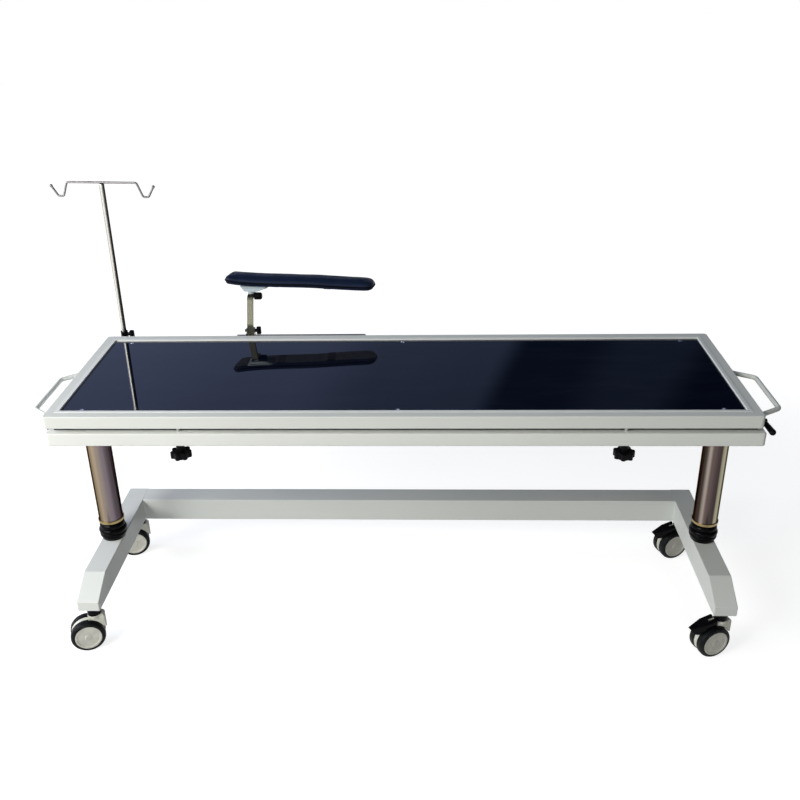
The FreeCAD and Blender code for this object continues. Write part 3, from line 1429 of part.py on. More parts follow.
def make_arm_plate(post_top):
    """Plate under the pad, a tapered pan below it, and the swivel pin."""
    thick = size("plate_thick")
    long = size("plate_long")
    wide = size("plate_wide")
    ahead = size("plate_ahead")
    shift = size("plate_shift")
    plate_low = table_height + size("plate_low")
    boss_low = post_top + size("pivot_gap")
    slab_body = new_body("ArmPlateSlab")
    outline = new_sketch(slab_body, "ArmPlateOutline", "XY_Plane")
    rectangle(outline, ahead - long * 0.5, ahead + long * 0.5,
              shift - wide * 0.5, shift + wide * 0.5)
    slab = pad(slab_body, "ArmPlatePad", outline, thick)
    fillet(slab_body, "ArmPlateRound", slab, size("plate_round"),
           lambda spot: abs(spot.z - thick.value / 2.0) < TOUCH)
    rim = size("pan_rim") * 2
    pan = DOC.addObject("Part::Loft", "ArmPlatePan")
    faces = []
    rows = (("Rim", long - rim, wide - rim, ahead, shift, ZERO),
            ("Floor", size("pan_long"), size("pan_wide"), ZERO, ZERO,
             -size("pan_deep")))
    for label, across, along, x, y, z in rows:
        face = DOC.addObject("Part::Plane", "ArmPan" + label)
        bind(face, "Length", across)
        bind(face, "Width", along)
        faces.append(seat(face, x - across * 0.5, y - along * 0.5, z))
    pan.Sections = faces
    pan.Solid = True
    pan.Ruled = True
    dish = fuse("ArmPlateDish", [slab_body, pan])
    dish.Placement = FreeCAD.Placement(
        VECTOR(), FreeCAD.Rotation(Y_AXIS, size("pad_tilt").value))
    boss = cylinder("ArmPlateBoss", size("boss_radius"), plate_low - boss_low)
    seat(boss, 0, 0, boss_low - plate_low)
    pin = cylinder("ArmPlatePin", size("pivot_pin"), size("pivot_pin_deep") * 2)
    seat(pin, 0, 0, boss_low - plate_low - size("pivot_pin_deep"))
    plate = fuse("ArmPlate", [dish, boss, pin])
    place(plate, size("arm_x"), post_y + size("pivot_reach"), plate_low)
    publish(plate, "arm_plate")


def make_arm_pad():
    pad_body = new_body("ArmPad")
    plan = new_sketch(pad_body, "ArmPadOutline", "XY_Plane")
    left = -size("pad_left")
    pad_y = size("pad_shift")
    half = size("pad_wide") * 0.5
    rectangle(plan, left, left + size("pad_long"), pad_y - half, pad_y + half)
    pad_thick = size("pad_thick")
    cushion = pad(pad_body, "ArmPadPad", plan, pad_thick)
    ends = fillet(pad_body, "ArmPadEnds", cushion, size("pad_end_round"),
                  lambda spot: abs(spot.z - pad_thick.value / 2.0) < TOUCH)
    fillet(pad_body, "ArmPadEdges", ends, size("pad_edge_round"),
           lambda spot: spot.z < TOUCH or spot.z > pad_thick.value - TOUCH)
    rise = size("plate_thick") + size("pad_gap")
    tilt_on_plate(pad_body, 0, 0, rise.value)
    publish(pad_body, "arm_pad")

    straps = []
    for label, spot in (("Near", size("strap_near")), ("Far", size("strap_far"))):
        strap = box("Strap" + label, size("strap_wide"), size("strap_long"),
                    size("strap_thick"))
        tilt_on_plate(strap, (spot - size("strap_wide") * 0.5).value,
                      (pad_y - size("strap_long") * 0.5).value,
                      (rise - size("strap_thick") - size("pad_gap")).value)
        straps.append(strap)
    group("arm_straps", straps)


def tilt_on_plate(item, across, along, above):
    """Carries an item with the bracket plate's sloping top."""
    corner = VECTOR((size("arm_x") + SHIFT_X).value,
                    (post_y + size("pivot_reach") + SHIFT_Y).value,
                    (table_height + size("plate_low")).value)
    turn = FreeCAD.Rotation(Y_AXIS, size("pad_tilt").value)
    carrier = FreeCAD.Placement(corner, turn)
    local = FreeCAD.Placement(VECTOR(across, along, above), FreeCAD.Rotation())
    item.Placement = carrier.multiply(local)


def make_arm_knob():
    """Round clamp knob; its pin reaches back into the post at x = 0."""
    name = "ArmKnob"
    neck = size("arm_knob_neck")
    depth = size("arm_knob_in")
    long = size("arm_knob_long")
    pin = cylinder(name + "Pin", size("arm_knob_pin"), depth + neck * 2)
    seat(pin, -depth, 0, 0, Y_AXIS, 90)
    shank = cylinder(name + "Neck", size("thumb_hub"), neck)
    seat(shank, size("thumb_gap"), 0, 0, Y_AXIS, 90)
    grip = cylinder(name + "Grip", size("arm_knob_radius"), long)
    soft = rounded(name + "Soft", grip, size("arm_knob_round"),
                   lambda spot: spot.z > long.value - TOUCH)
    soft.Placement = FreeCAD.Placement(VECTOR(neck.value, 0, 0),
                                       FreeCAD.Rotation(Y_AXIS, 90))
    knob = fuse(name, [pin, shank, soft])
    place(knob, size("arm_x") + size("post_wide") * 0.5,
          post_y + size("arm_knob_reach"), table_height + size("post_end"))
    publish(knob, "arm_knob")


# ---------------------------------------------------------------- build

def check_and_write():
    DOC.recompute()
    for item in DOC.Objects:
        if "Invalid" in item.State or "Error" in item.State:
            raise RuntimeError("%s failed: %s" % (item.Name, item.State))
    for name, item in PARTS:
        shape = item.Shape
        if shape.isNull() or not shape.isValid() or not shape.Solids:
            raise RuntimeError(name + " has no valid solid")
    os.makedirs("parts", exist_ok=True)
    for name, item in PARTS:
        item.Shape.exportStep("parts/%s.step" % name)
    print("wrote %d sub-parts" % len(PARTS))


def main():
    make_top_frame()
    make_edging()
    make_board()
    make_push_handles()
    make_runners()
    make_side_rail()
    make_lower_frame()
    make_lever_bearings()
    make_lock_levers()
    make_clamp_knobs()
    make_columns()
    make_bellows()
    make_base()
    make_collars()
    make_castors()
    make_pole()
    make_arm_clamp()
    post_top = make_arm_post()
    make_arm_plate(post_top)
    make_arm_pad()
    make_arm_knob()
    check_and_write()


main()
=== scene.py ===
"""A radiography table with a floating top, an infusion pole and an arm rest, in a pale studio."""
import math

import bmesh
import bpy
from mathutils import Matrix, Vector


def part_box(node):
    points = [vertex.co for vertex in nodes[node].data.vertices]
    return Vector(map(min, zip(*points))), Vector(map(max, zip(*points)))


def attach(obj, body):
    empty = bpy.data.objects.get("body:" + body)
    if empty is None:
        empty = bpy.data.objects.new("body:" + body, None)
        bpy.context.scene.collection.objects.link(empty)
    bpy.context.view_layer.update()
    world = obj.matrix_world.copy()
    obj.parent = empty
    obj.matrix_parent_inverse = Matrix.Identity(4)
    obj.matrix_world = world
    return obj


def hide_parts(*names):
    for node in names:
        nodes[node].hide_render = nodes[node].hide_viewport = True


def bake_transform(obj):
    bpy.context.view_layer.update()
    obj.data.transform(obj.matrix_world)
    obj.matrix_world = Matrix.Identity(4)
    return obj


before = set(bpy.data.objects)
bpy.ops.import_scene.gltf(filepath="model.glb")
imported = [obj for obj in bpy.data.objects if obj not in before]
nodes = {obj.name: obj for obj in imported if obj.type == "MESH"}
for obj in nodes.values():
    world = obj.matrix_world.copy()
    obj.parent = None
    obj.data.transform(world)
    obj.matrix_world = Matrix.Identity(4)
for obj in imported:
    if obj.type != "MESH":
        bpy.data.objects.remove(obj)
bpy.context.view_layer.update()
scene = bpy.context.scene


# ---------------------------------------------------------------- camera
# Fitted to the photograph's frame corners, columns, base, castors and pole.

CAMERA_PLACE = Vector((0.1172, -2.6387, 1.9403))
CAMERA_PITCH = math.radians(25.71)
CAMERA_YAW = math.radians(-2.81)
CAMERA_ROLL = math.radians(1.33)
FOCAL_PIXELS = 928.2
IMAGE_PIXELS = 800.0
SENSOR = 36.0
CENTRE_X = 388.0


def make_camera():
    ahead = Vector((math.sin(CAMERA_YAW) * math.cos(CAMERA_PITCH),
                    math.cos(CAMERA_YAW) * math.cos(CAMERA_PITCH),
                    -math.sin(CAMERA_PITCH)))
    level = Vector((math.cos(CAMERA_YAW), -math.sin(CAMERA_YAW), 0))
    down = ahead.cross(level)
    right = math.cos(CAMERA_ROLL) * level + math.sin(CAMERA_ROLL) * down
    below = -math.sin(CAMERA_ROLL) * level + math.cos(CAMERA_ROLL) * down
    turn = Matrix((right, -below, -ahead)).transposed()
    data = bpy.data.cameras.new("camera")
    data.sensor_fit = "HORIZONTAL"
    data.sensor_width = SENSOR
    data.lens = FOCAL_PIXELS * SENSOR / IMAGE_PIXELS
    data.shift_x = (IMAGE_PIXELS / 2 - CENTRE_X) / IMAGE_PIXELS
    data.clip_start = 0.05
    data.clip_end = 60
    camera = bpy.data.objects.new("camera", data)
    camera.matrix_world = Matrix.Translation(CAMERA_PLACE) @ turn.to_4x4()
    scene.collection.objects.link(camera)
    scene.camera = camera


# ---------------------------------------------------------------- materials

class Shader:
    """A principled material with short helpers for its nodes."""

    def __init__(self, name, colour, roughness, metallic=0.0, **sockets):
        self.material = bpy.data.materials.new(name)
        self.material.use_nodes = True
        self.nodes = self.material.node_tree.nodes
        self.links = self.material.node_tree.links
        self.surface = self.nodes["Principled BSDF"]
        self.set("Base Color", (*colour, 1))
        self.set("Roughness", roughness)
        self.set("Metallic", metallic)
        for key, value in sockets.items():
            self.set(key.replace("_", " "), value)
        self.place = self.nodes.new("ShaderNodeTexCoord").outputs["Object"]
        self.height = None

    def set(self, socket, value):
        self.surface.inputs[socket].default_value = value

    def stretched(self, scale):
        mapping = self.nodes.new("ShaderNodeMapping")
        mapping.inputs["Scale"].default_value = scale
        self.links.new(self.place, mapping.inputs["Vector"])
        return mapping.outputs["Vector"]

    def noise(self, scale, detail=2.0, roughness=0.5, distortion=0.0, where=None):
        node = self.nodes.new("ShaderNodeTexNoise")
        node.inputs["Scale"].default_value = scale
        node.inputs["Detail"].default_value = detail
        node.inputs["Roughness"].default_value = roughness
        node.inputs["Distortion"].default_value = distortion
        self.links.new(where or self.place, node.inputs["Vector"])
        return node.outputs["Fac"]

    def cells(self, scale, where=None):
        node = self.nodes.new("ShaderNodeTexVoronoi")
        node.inputs["Scale"].default_value = scale
        self.links.new(where or self.place, node.inputs["Vector"])
        return node.outputs["Distance"]

    def wave(self, scale, direction="X", distortion=0.0, where=None):
        node = self.nodes.new("ShaderNodeTexWave")
        node.bands_direction = direction
        node.inputs["Scale"].default_value = scale
        node.inputs["Distortion"].default_value = distortion
        self.links.new(where or self.place, node.inputs["Vector"])
        return node.outputs["Fac"]

    def part(self, axis):
        node = self.nodes.new("ShaderNodeSeparateXYZ")
        self.links.new(self.place, node.inputs["Vector"])
        return node.outputs[axis]

    def span(self, value, low, high, out_low=0.0, out_high=1.0):
        node = self.nodes.new("ShaderNodeMapRange")
        node.interpolation_type = "SMOOTHSTEP"
        node.inputs["From Min"].default_value = low
        node.inputs["From Max"].default_value = high
        node.inputs["To Min"].default_value = out_low
        node.inputs["To Max"].default_value = out_high
        self.links.new(value, node.inputs["Value"])
        return node.outputs["Result"]

    def maths(self, operation, first, second):
        """A clamped sum or product of two values, each a number or a socket."""
        node = self.nodes.new("ShaderNodeMath")
        node.operation = operation
        node.use_clamp = True
        for socket, value in zip(node.inputs, (first, second)):
            if isinstance(value, (int, float)):
                socket.default_value = value
            else:
                self.links.new(value, socket)
        return node.outputs["Value"]

    def tint(self, factor, first, second):
        """Base colour from first to second as factor goes from 0 to 1; first may be a socket."""
        node = self.nodes.new("ShaderNodeMix")
        node.data_type = "RGBA"
        self.links.new(factor, node.inputs["Factor"])
        for socket, value in ((node.inputs["A"], first), (node.inputs["B"], second)):
            if isinstance(value, tuple):
                socket.default_value = (*value, 1)
            else:
                self.links.new(value, socket)
        self.links.new(node.outputs["Result"], self.surface.inputs["Base Color"])
        return node.outputs["Result"]

    def shade_ramp(self, factor, stops):
        """Base colour through several stops."""
        node = self.nodes.new("ShaderNodeValToRGB")
        fill_ramp(node.color_ramp, stops)
        self.links.new(factor, node.inputs["Fac"])
        self.links.new(node.outputs["Color"], self.surface.inputs["Base Color"])
        return node.outputs["Color"]

    def rough(self, value):
        self.links.new(value, self.surface.inputs["Roughness"])

    def bump(self, value, depth, strength=1.0):
        node = self.nodes.new("ShaderNodeBump")
        node.inputs["Distance"].default_value = depth
        node.inputs["Strength"].default_value = strength
        self.links.new(value, node.inputs["Height"])
        if self.height is not None:
            self.links.new(self.height, node.inputs["Normal"])
        self.height = node.outputs["Normal"]
        self.links.new(self.height, self.surface.inputs["Normal"])


def fill_ramp(ramp, stops):
    """Puts (position, colour) stops on a colour ramp with smooth steps."""
    ramp.interpolation = "EASE"
    while len(ramp.elements) > 1:
        ramp.elements.remove(ramp.elements[0])
    for number, (position, colour) in enumerate(stops):
        element = ramp.elements[0] if number == 0 else ramp.elements.new(position)
        element.position = position
        element.color = (*colour, 1)


def mix_colours(first, second, share):
    return tuple(a + (b - a) * share for a, b in zip(first, second))


def white_paint(name, colour, scuffs=False):
    """Powder coat: even, slightly glossy, with a fine orange peel."""
    paint = Shader(name, colour, 0.42, Specular_IOR_Level=0.22)
    cloud = paint.noise(1.6, detail=1)
    shade = tuple(part * 0.965 for part in colour)
    tone = paint.tint(paint.span(cloud, 0.35, 0.65), shade, colour)
    if scuffs:
        drawn = paint.stretched((0.35, 1.8, 2.4))
        marks = paint.noise(46, detail=5, roughness=0.72, where=drawn)
        marks = paint.span(marks, 0.67, 0.73)
        zone = paint.span(paint.part("X"), 0.35, 0.5)
        paint.tint(paint.maths("MULTIPLY", marks, zone), tone, (0.36, 0.27, 0.24))
    paint.rough(paint.span(paint.noise(9, detail=2), 0.3, 0.7, 0.38, 0.5))
    paint.bump(paint.noise(420, detail=1), 0.0001)
    return paint.material


def bracket_paint():
    """Pale blue paint on the bracket's sides; the faces that look down are painted near black as
    painted shade.
    """
    paint = Shader("bracket_paint", (0.46, 0.53, 0.58), 0.5, Specular_IOR_Level=0.06)
    cloud = paint.noise(9, detail=2)
    tone = paint.tint(paint.span(cloud, 0.35, 0.65), (0.43, 0.50, 0.55), (0.47, 0.54, 0.59))
    geometry = paint.nodes.new("ShaderNodeNewGeometry")
    split = paint.nodes.new("ShaderNodeSeparateXYZ")
    paint.links.new(geometry.outputs["True Normal"], split.inputs["Vector"])
    # painted shade: faces that look down get a near-black colour, standing in for the shadow
    # under the bracket
    painted_shade_under = paint.span(split.outputs["Z"], -0.9, -0.97)
    paint.tint(painted_shade_under, tone, (0.003, 0.004, 0.007))
    paint.bump(paint.noise(420, detail=1), 0.0001)
    return paint.material


def navy_gloss():
    """Polished board: near black under its gloss, with faint wiping streaks."""
    board = Shader("board_gloss", (0.0035, 0.005, 0.012), 0.03, Specular_IOR_Level=0.5)
    turned = board.nodes.new("ShaderNodeMapping")
    turned.inputs["Rotation"].default_value = (0, 0, 0.6)
    turned.inputs["Scale"].default_value = (1.0, 4.5, 1.0)
    board.links.new(board.place, turned.inputs["Vector"])
    along = turned.outputs["Vector"]
    smear = board.noise(4.2, detail=4, roughness=0.62, distortion=0.5, where=along)
    wiped = board.span(smear, 0.4, 0.8)
    board.tint(wiped, (0.0018, 0.0030, 0.0085), (0.0050, 0.0070, 0.0135))
    board.rough(board.span(smear, 0.35, 0.75, 0.012, 0.05))
    board.bump(board.noise(1.6, detail=1), 0.00035)
    return board.material


def steel(name, light, dark, roughness, grain_axis, fine=240.0, **sockets):
    """Drawn or brushed metal, its lines along one axis."""
    metal = Shader(name, light, roughness, 1.0, **sockets)
    scale = [1.0, 1.0, 1.0]
    scale["XYZ".index(grain_axis)] = 0.02
    lines = metal.noise(fine, detail=3, roughness=0.6, where=metal.stretched(scale))
    metal.tint(metal.span(lines, 0.3, 0.7), dark, light)
    metal.rough(metal.span(lines, 0.25, 0.75, roughness * 0.75, roughness * 1.35))
    metal.bump(lines, 0.00006)
    return metal.material


def plain_metal(name, light, dark, roughness, **sockets):
    metal = Shader(name, light, roughness, 1.0, **sockets)
    spots = metal.noise(160, detail=4)
    metal.tint(spots, dark, light)
    metal.rough(metal.span(spots, 0.3, 0.7, roughness * 0.8, roughness * 1.3))
    return metal.material


def black_plastic(name, colour, roughness, grain=900.0, depth=0.00008):
    plastic = Shader(name, colour, roughness, Specular_IOR_Level=0.05)
    cloud = plastic.noise(45, detail=3)
    plastic.tint(cloud, colour, mix_colours(colour, (0.2, 0.2, 0.22), 0.012))
    plastic.rough(plastic.span(cloud, 0.3, 0.7, roughness * 0.85, roughness * 1.2))
    plastic.bump(plastic.noise(grain, detail=1), depth)
    return plastic.material


def moulded(name, colour, shade, roughness):
    plastic = Shader(name, colour, roughness)
    cloud = plastic.noise(28, detail=4, roughness=0.6)
    plastic.tint(plastic.span(cloud, 0.35, 0.7), shade, colour)
    wear = plastic.noise(60, detail=2)
    plastic.rough(plastic.span(wear, 0.3, 0.7, roughness * 0.85, roughness * 1.25))
    plastic.bump(plastic.noise(700, detail=1), 0.00006)
    return plastic.material


def vinyl():
    """Navy upholstery vinyl with a fine leather grain and shallow creases."""
    skin = Shader("pad_vinyl", (0.006, 0.009, 0.026), 0.4, Specular_IOR_Level=0.14)
    skin.tint(skin.noise(14, detail=3), (0.004, 0.009, 0.026), (0.009, 0.016, 0.043))
    skin.rough(skin.span(skin.noise(70, detail=3), 0.3, 0.7, 0.34, 0.48))
    skin.bump(skin.cells(900), 0.0001)
    skin.bump(skin.noise(18, detail=2, distortion=0.4), 0.0005, 0.5)
    return skin.material


# Specular edge tints; the tubes' tint is painted shade that keeps the column and pole outlines
# dark
TUBE_EDGE_PAINTED_SHADE = (0.35, 0.32, 0.28, 1)
POST_EDGE = (0.25, 0.24, 0.20, 1)
FACING_LEFT = math.radians(22)
FACING_RIGHT = math.radians(-19)
FACING_POLE = math.radians(12)


def round_metal(name, centre, facing, stops, roughness):
    """Polished metal round an upright axis, with soft light and dark bands along it, painted
    reflections in its colour.

    The bands are painted reflections: light and shade from around the tube painted into its base
    colour. They follow the angle round the axis; facing is the angle, from the front towards the
    right, where band position 0.5 lies. The edge tint is painted shade that keeps the tube's
    outline dark against the white studio.
    """
    metal = Shader(name, stops[0][1], roughness, 1.0, Specular_Tint=TUBE_EDGE_PAINTED_SHADE)
    angle = metal.nodes.new("ShaderNodeMath")
    angle.operation = "ARCTAN2"
    for socket, axis, middle, sign in ((0, "X", centre[0], 1), (1, "Y", centre[1], -1)):
        offset = metal.nodes.new("ShaderNodeMath")
        offset.operation = "MULTIPLY_ADD"
        offset.inputs[1].default_value = sign
        offset.inputs[2].default_value = -sign * middle
        metal.links.new(metal.part(axis), offset.inputs[0])
        metal.links.new(offset.outputs[0], angle.inputs[socket])
    turned = metal.nodes.new("ShaderNodeMath")
    turned.operation = "SUBTRACT"
    turned.inputs[1].default_value = facing
    metal.links.new(angle.outputs[0], turned.inputs[0])
    across = metal.nodes.new("ShaderNodeMath")
    across.operation = "SINE"
    metal.links.new(turned.outputs[0], across.inputs[0])
    lines = metal.noise(150, detail=3, roughness=0.6, where=metal.stretched((1, 1, 0.01)))
    share = metal.nodes.new("ShaderNodeMapRange")
    share.inputs["From Min"].default_value = -1
    share.inputs["From Max"].default_value = 1
    metal.links.new(across.outputs[0], share.inputs["Value"])
    wobble = metal.maths("ADD", share.outputs["Result"], metal.span(lines, 0.2, 0.8, -0.02, 0.02))
    # painted reflections: the light and dark bands go into the base colour
    metal.shade_ramp(wobble, stops)
    metal.rough(metal.span(lines, 0.25, 0.75, roughness * 0.8, roughness * 1.3))
    metal.bump(lines, 0.00003)
    return metal.material


def middle_of(name):
    low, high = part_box(name)
    return ((low[0] + high[0]) / 2, (low[1] + high[1]) / 2)


# Painted reflections for the two columns and the pole: light and dark bands in the base colour,
# standing in for the studio's light and shade
LEFT_PAINTED_REFLECTIONS = (
    (0.00, (0.03, 0.02, 0.015)),
    (0.035, (0.05, 0.035, 0.025)),
    (0.10, (0.22, 0.17, 0.115)),
    (0.20, (0.28, 0.22, 0.15)),
    (0.34, (0.22, 0.18, 0.155)),
    (0.55, (0.165, 0.135, 0.15)),
    (0.80, (0.07, 0.055, 0.065)),
    (0.97, (0.03, 0.025, 0.03)),
)
RIGHT_PAINTED_REFLECTIONS = (
    (0.00, (0.04, 0.028, 0.02)),
    (0.22, (0.05, 0.036, 0.032)),
    (0.36, (0.30, 0.255, 0.22)),
    (0.48, (0.11, 0.08, 0.075)),
    (0.78, (0.05, 0.037, 0.037)),
    (0.86, (0.30, 0.28, 0.20)),
    (0.91, (0.40, 0.38, 0.28)),
    (0.97, (0.06, 0.05, 0.035)),
)
POLE_PAINTED_REFLECTIONS = (
    (0.00, (0.30, 0.29, 0.27)),
    (0.15, (0.62, 0.60, 0.55)),
    (0.45, (0.55, 0.53, 0.48)),
    (0.60, (0.12, 0.12, 0.115)),
    (0.90, (0.02, 0.02, 0.02)),
)


CLAMP_LEFT = -0.501
CAP_BLEND = 0.0002
STUD_START = 0.71
STUD_BLEND = 0.002


def capped_clamp():
    """Steel clamp body with a black end cap on its left face."""
    metal = Shader("clamp_steel", (0.24, 0.23, 0.20), 0.34, 1.0)
    lines = metal.noise(220, detail=3, where=metal.stretched((1, 1, 0.05)))
    tone = metal.tint(metal.span(lines, 0.3, 0.7), (0.20, 0.19, 0.165), (0.30, 0.29, 0.25))
    cap = metal.span(metal.part("X"), CLAMP_LEFT + CAP_BLEND, CLAMP_LEFT - CAP_BLEND)
    metal.tint(cap, tone, (0.012, 0.012, 0.013))
    metal.rough(metal.span(lines, 0.25, 0.75, 0.2, 0.34))
    metal.links.new(metal.span(cap, 0.0, 1.0, 1.0, 0.0), metal.surface.inputs["Metallic"])
    return metal.material


def studded_knob():
    """Black knob whose steel stud shows between the two frames."""
    knob = Shader("clamp_knob_plastic", (0.002, 0.002, 0.003), 0.27, Specular_IOR_Level=0.05)
    cloud = knob.noise(45, detail=3)
    tone = knob.tint(cloud, (0.002, 0.002, 0.003), (0.005, 0.005, 0.006))
    stud = knob.span(knob.part("Z"), STUD_START, STUD_START + STUD_BLEND)
    knob.tint(stud, tone, (0.5, 0.5, 0.48))
    knob.bump(knob.noise(900, detail=1), 0.00008)
    return knob.material


def webbing():
    strap = Shader("strap_webbing", (0.008, 0.008, 0.012), 0.8, Sheen_Weight=0.3)
    strap.tint(strap.wave(900, "X"), (0.005, 0.005, 0.008), (0.016, 0.016, 0.022))
    strap.bump(strap.wave(700, "DIAGONAL"), 0.0003)
    return strap.material


def tread():
    rubber = Shader("castor_tread", (0.004, 0.0045, 0.005), 0.42, Specular_IOR_Level=0.10)
    dust = rubber.noise(60, detail=5, roughness=0.65)
    rubber.tint(rubber.span(dust, 0.52, 0.8), (0.004, 0.0045, 0.005), (0.035, 0.036, 0.036))
    rubber.rough(rubber.span(dust, 0.35, 0.7, 0.34, 0.6))
    rubber.bump(rubber.noise(500, detail=2), 0.0001)
    return rubber.material


def make_materials():
    """One material for each kind of surface."""
    return {
        "white": white_paint("frame_paint", (0.72, 0.735, 0.705)),
        # painted light: the lower frame uses a lighter copy of the frame paint so that it reads
        # brighter, as it does under the light
        "lower_white_painted_lighter": white_paint("lower_frame_painted_lighter", (0.77, 0.785, 0.755)),
        "base_white": white_paint("base_paint", (0.73, 0.75, 0.73), scuffs=True),
        "bead": white_paint("edging_paint", (0.80, 0.82, 0.81)),
        "bracket": bracket_paint(),
        "board": navy_gloss(),
        "screw": plain_metal("screw_steel", (0.8, 0.8, 0.84), (0.6, 0.6, 0.64), 0.22),
        "tube_left": round_metal("column_steel_left", middle_of("column_tube_left"),
                                 FACING_LEFT, LEFT_PAINTED_REFLECTIONS, 0.2),
        "tube_right": round_metal("column_steel_right", middle_of("column_tube_right"),
                                  FACING_RIGHT, RIGHT_PAINTED_REFLECTIONS, 0.2),
        "core": steel("core_steel", (0.6, 0.6, 0.62), (0.5, 0.5, 0.52), 0.25, "Z"),
        "bush": plain_metal("bush_bronze", (0.36, 0.28, 0.14), (0.24, 0.185, 0.085), 0.36),
        "post": steel("post_steel", (0.17, 0.165, 0.12), (0.12, 0.115, 0.08), 0.34, "Z", 420.0,
                      Specular_Tint=POST_EDGE),
        "clamp": capped_clamp(),
        "pole": round_metal("pole_steel", middle_of("infusion_pole"),
                            FACING_POLE, POLE_PAINTED_REFLECTIONS, 0.3),
        "hooks": steel("hook_steel", (0.24, 0.23, 0.22), (0.16, 0.15, 0.15), 0.42, "X"),
        "rail": steel("rail_steel", (0.26, 0.25, 0.245), (0.17, 0.165, 0.16), 0.32, "X"),
        "black": black_plastic("knob_plastic", (0.002, 0.002, 0.003), 0.27),
        "knob": studded_knob(),
        "glide": black_plastic("glide_plastic", (0.02, 0.02, 0.022), 0.5),
        "rubber": black_plastic("bellows_rubber", (0.001, 0.001, 0.0015), 0.22, grain=300.0),
        "hood": moulded("hood_plastic", (0.74, 0.74, 0.66), (0.60, 0.60, 0.52), 0.3),
        "disc": moulded("disc_plastic", (0.68, 0.67, 0.61), (0.55, 0.54, 0.48), 0.42),
        "tread": tread(),
        "vinyl": vinyl(),
        "piping": black_plastic("pad_piping", (0.0015, 0.002, 0.005), 0.42),
        "webbing": webbing(),
    }


PAINT_OF = {
    "base_": "base_white",
    "column_cores": "core",
    "castor_collars": "black",
    "bellows": "rubber",
    "column_tube_left": "tube_left",
    "column_tube_right": "tube_right",
    "column_bushes": "bush",
    "column_heads": "white",
    "lower_": "lower_white_painted_lighter",
    "glide_blocks": "glide",
    "lever_bearings": "glide",
    "lock_lever": "black",
    "clamp_knob": "knob",
    "top_rail": "white",
    "board": "board",
    "board_edging": "bead",
    "board_screws": "screw",
    "push_handle": "white",
    "runner_strips": "rail",
    "side_rail": "rail",
    "rail_standoffs": "rail",
    "pole_socket": "black",
    "infusion_pole": "pole",
    "pole_hooks": "hooks",
    "pole_knob": "black",
    "arm_clamp": "clamp",
    "arm_clamp_screw": "black",
    "arm_post": "post",
    "arm_plate": "bracket",
    "arm_pad": "vinyl",
    "arm_straps": "webbing",
    "arm_knob": "black",
    "castor_hood": "hood",
    "castor_wheels": "disc",
    "castor_tyres": "tread",
    "brake_pedal": "black",
}


def paint_nodes(bank):
    """Gives each node the material of its longest matching name in PAINT_OF."""
    for name, node in nodes.items():
        key = max((k for k in PAINT_OF if name.startswith(k)), key=len)
        for place in node.material_slots:
            place.material = bank[PAINT_OF[key]]


# ---------------------------------------------------------------- arm rest cushion

PAD_TILT = math.radians(2.8)
PAD_LENGTH = 0.514
PAD_WIDTH = 0.083
PAD_THICK = 0.0252
PAD_CORNER_LEFT = 0.024
PAD_CORNER_RIGHT = 0.036
PAD_SEAM_HEIGHT = -0.0015
PAD_COLUMNS = 110
PAD_ROWS = 18
PAD_CORNER_POWER = 2.4
PAD_CROWN_POWER = 3.2
PAD_UNDER_FULL = 1.3
PAD_END_SPACING = 0.4
PAD_SKEW = 0.020
PAD_SKEW_REACH = 0.05
PAD_LIFT = 0.0055
PAD_LIFT_REACH = 0.04
PAD_WAVE = 0.0012
PAD_WAVE_RATE = 21.0
PAD_WAVE_START = 0.9
PAD_WAVE_EASE = 0.1
PAD_SWELL = 0.006
PAD_EASE = 24
CLOTH_STEPS = 20
PIPING_RADIUS = 0.0030
PIPING_SIDES = 8


def end_fullness(distance, corner):
    """0 at the very end of the pad, rising round its corner to 1."""
    near = max(0.0, 1.0 - distance / corner)
    return (1.0 - near ** PAD_CORNER_POWER) ** (1 / PAD_CORNER_POWER)


def pad_line(x):
    """Height of the pad's middle line: the left end lifts and the foam waves a little."""
    from_left = x + PAD_LENGTH / 2
    lift = PAD_LIFT * math.exp(-(from_left / PAD_LIFT_REACH) ** 2)
    wave = PAD_WAVE * math.sin(x * PAD_WAVE_RATE + PAD_WAVE_START)
    return lift + wave * min(1.0, from_left / PAD_WAVE_EASE)


def pad_point(column, row, top):
    """A point of the upper or lower cover; its outermost rows are the seam."""
    part = column / PAD_COLUMNS
    along = (1 - PAD_END_SPACING) * (part * 2 - 1) - PAD_END_SPACING * math.cos(math.pi * part)
    across = row / PAD_ROWS * 2 - 1
    x = along * PAD_LENGTH / 2
    from_left = x + PAD_LENGTH / 2
    from_right = PAD_LENGTH / 2 - x
    inside = min(end_fullness(from_left, PAD_CORNER_LEFT),
                 end_fullness(from_right, PAD_CORNER_RIGHT))
    half = PAD_WIDTH / 2 * inside
    y = math.sin(across * math.pi / 2) * half
    full = math.sqrt(max(0.0, 1 - abs(across) ** PAD_CROWN_POWER)) * inside
    if top:
        z = PAD_SEAM_HEIGHT + (PAD_THICK / 2 - PAD_SEAM_HEIGHT) * full
    else:
        z = PAD_SEAM_HEIGHT - (PAD_THICK / 2 + PAD_SEAM_HEIGHT) * min(1.0, full * PAD_UNDER_FULL)
    far = (y / (PAD_WIDTH / 2) + 1) / 2
    x += PAD_SKEW * far * math.exp(-from_left / PAD_SKEW_REACH)
    return Vector((x, y, z))


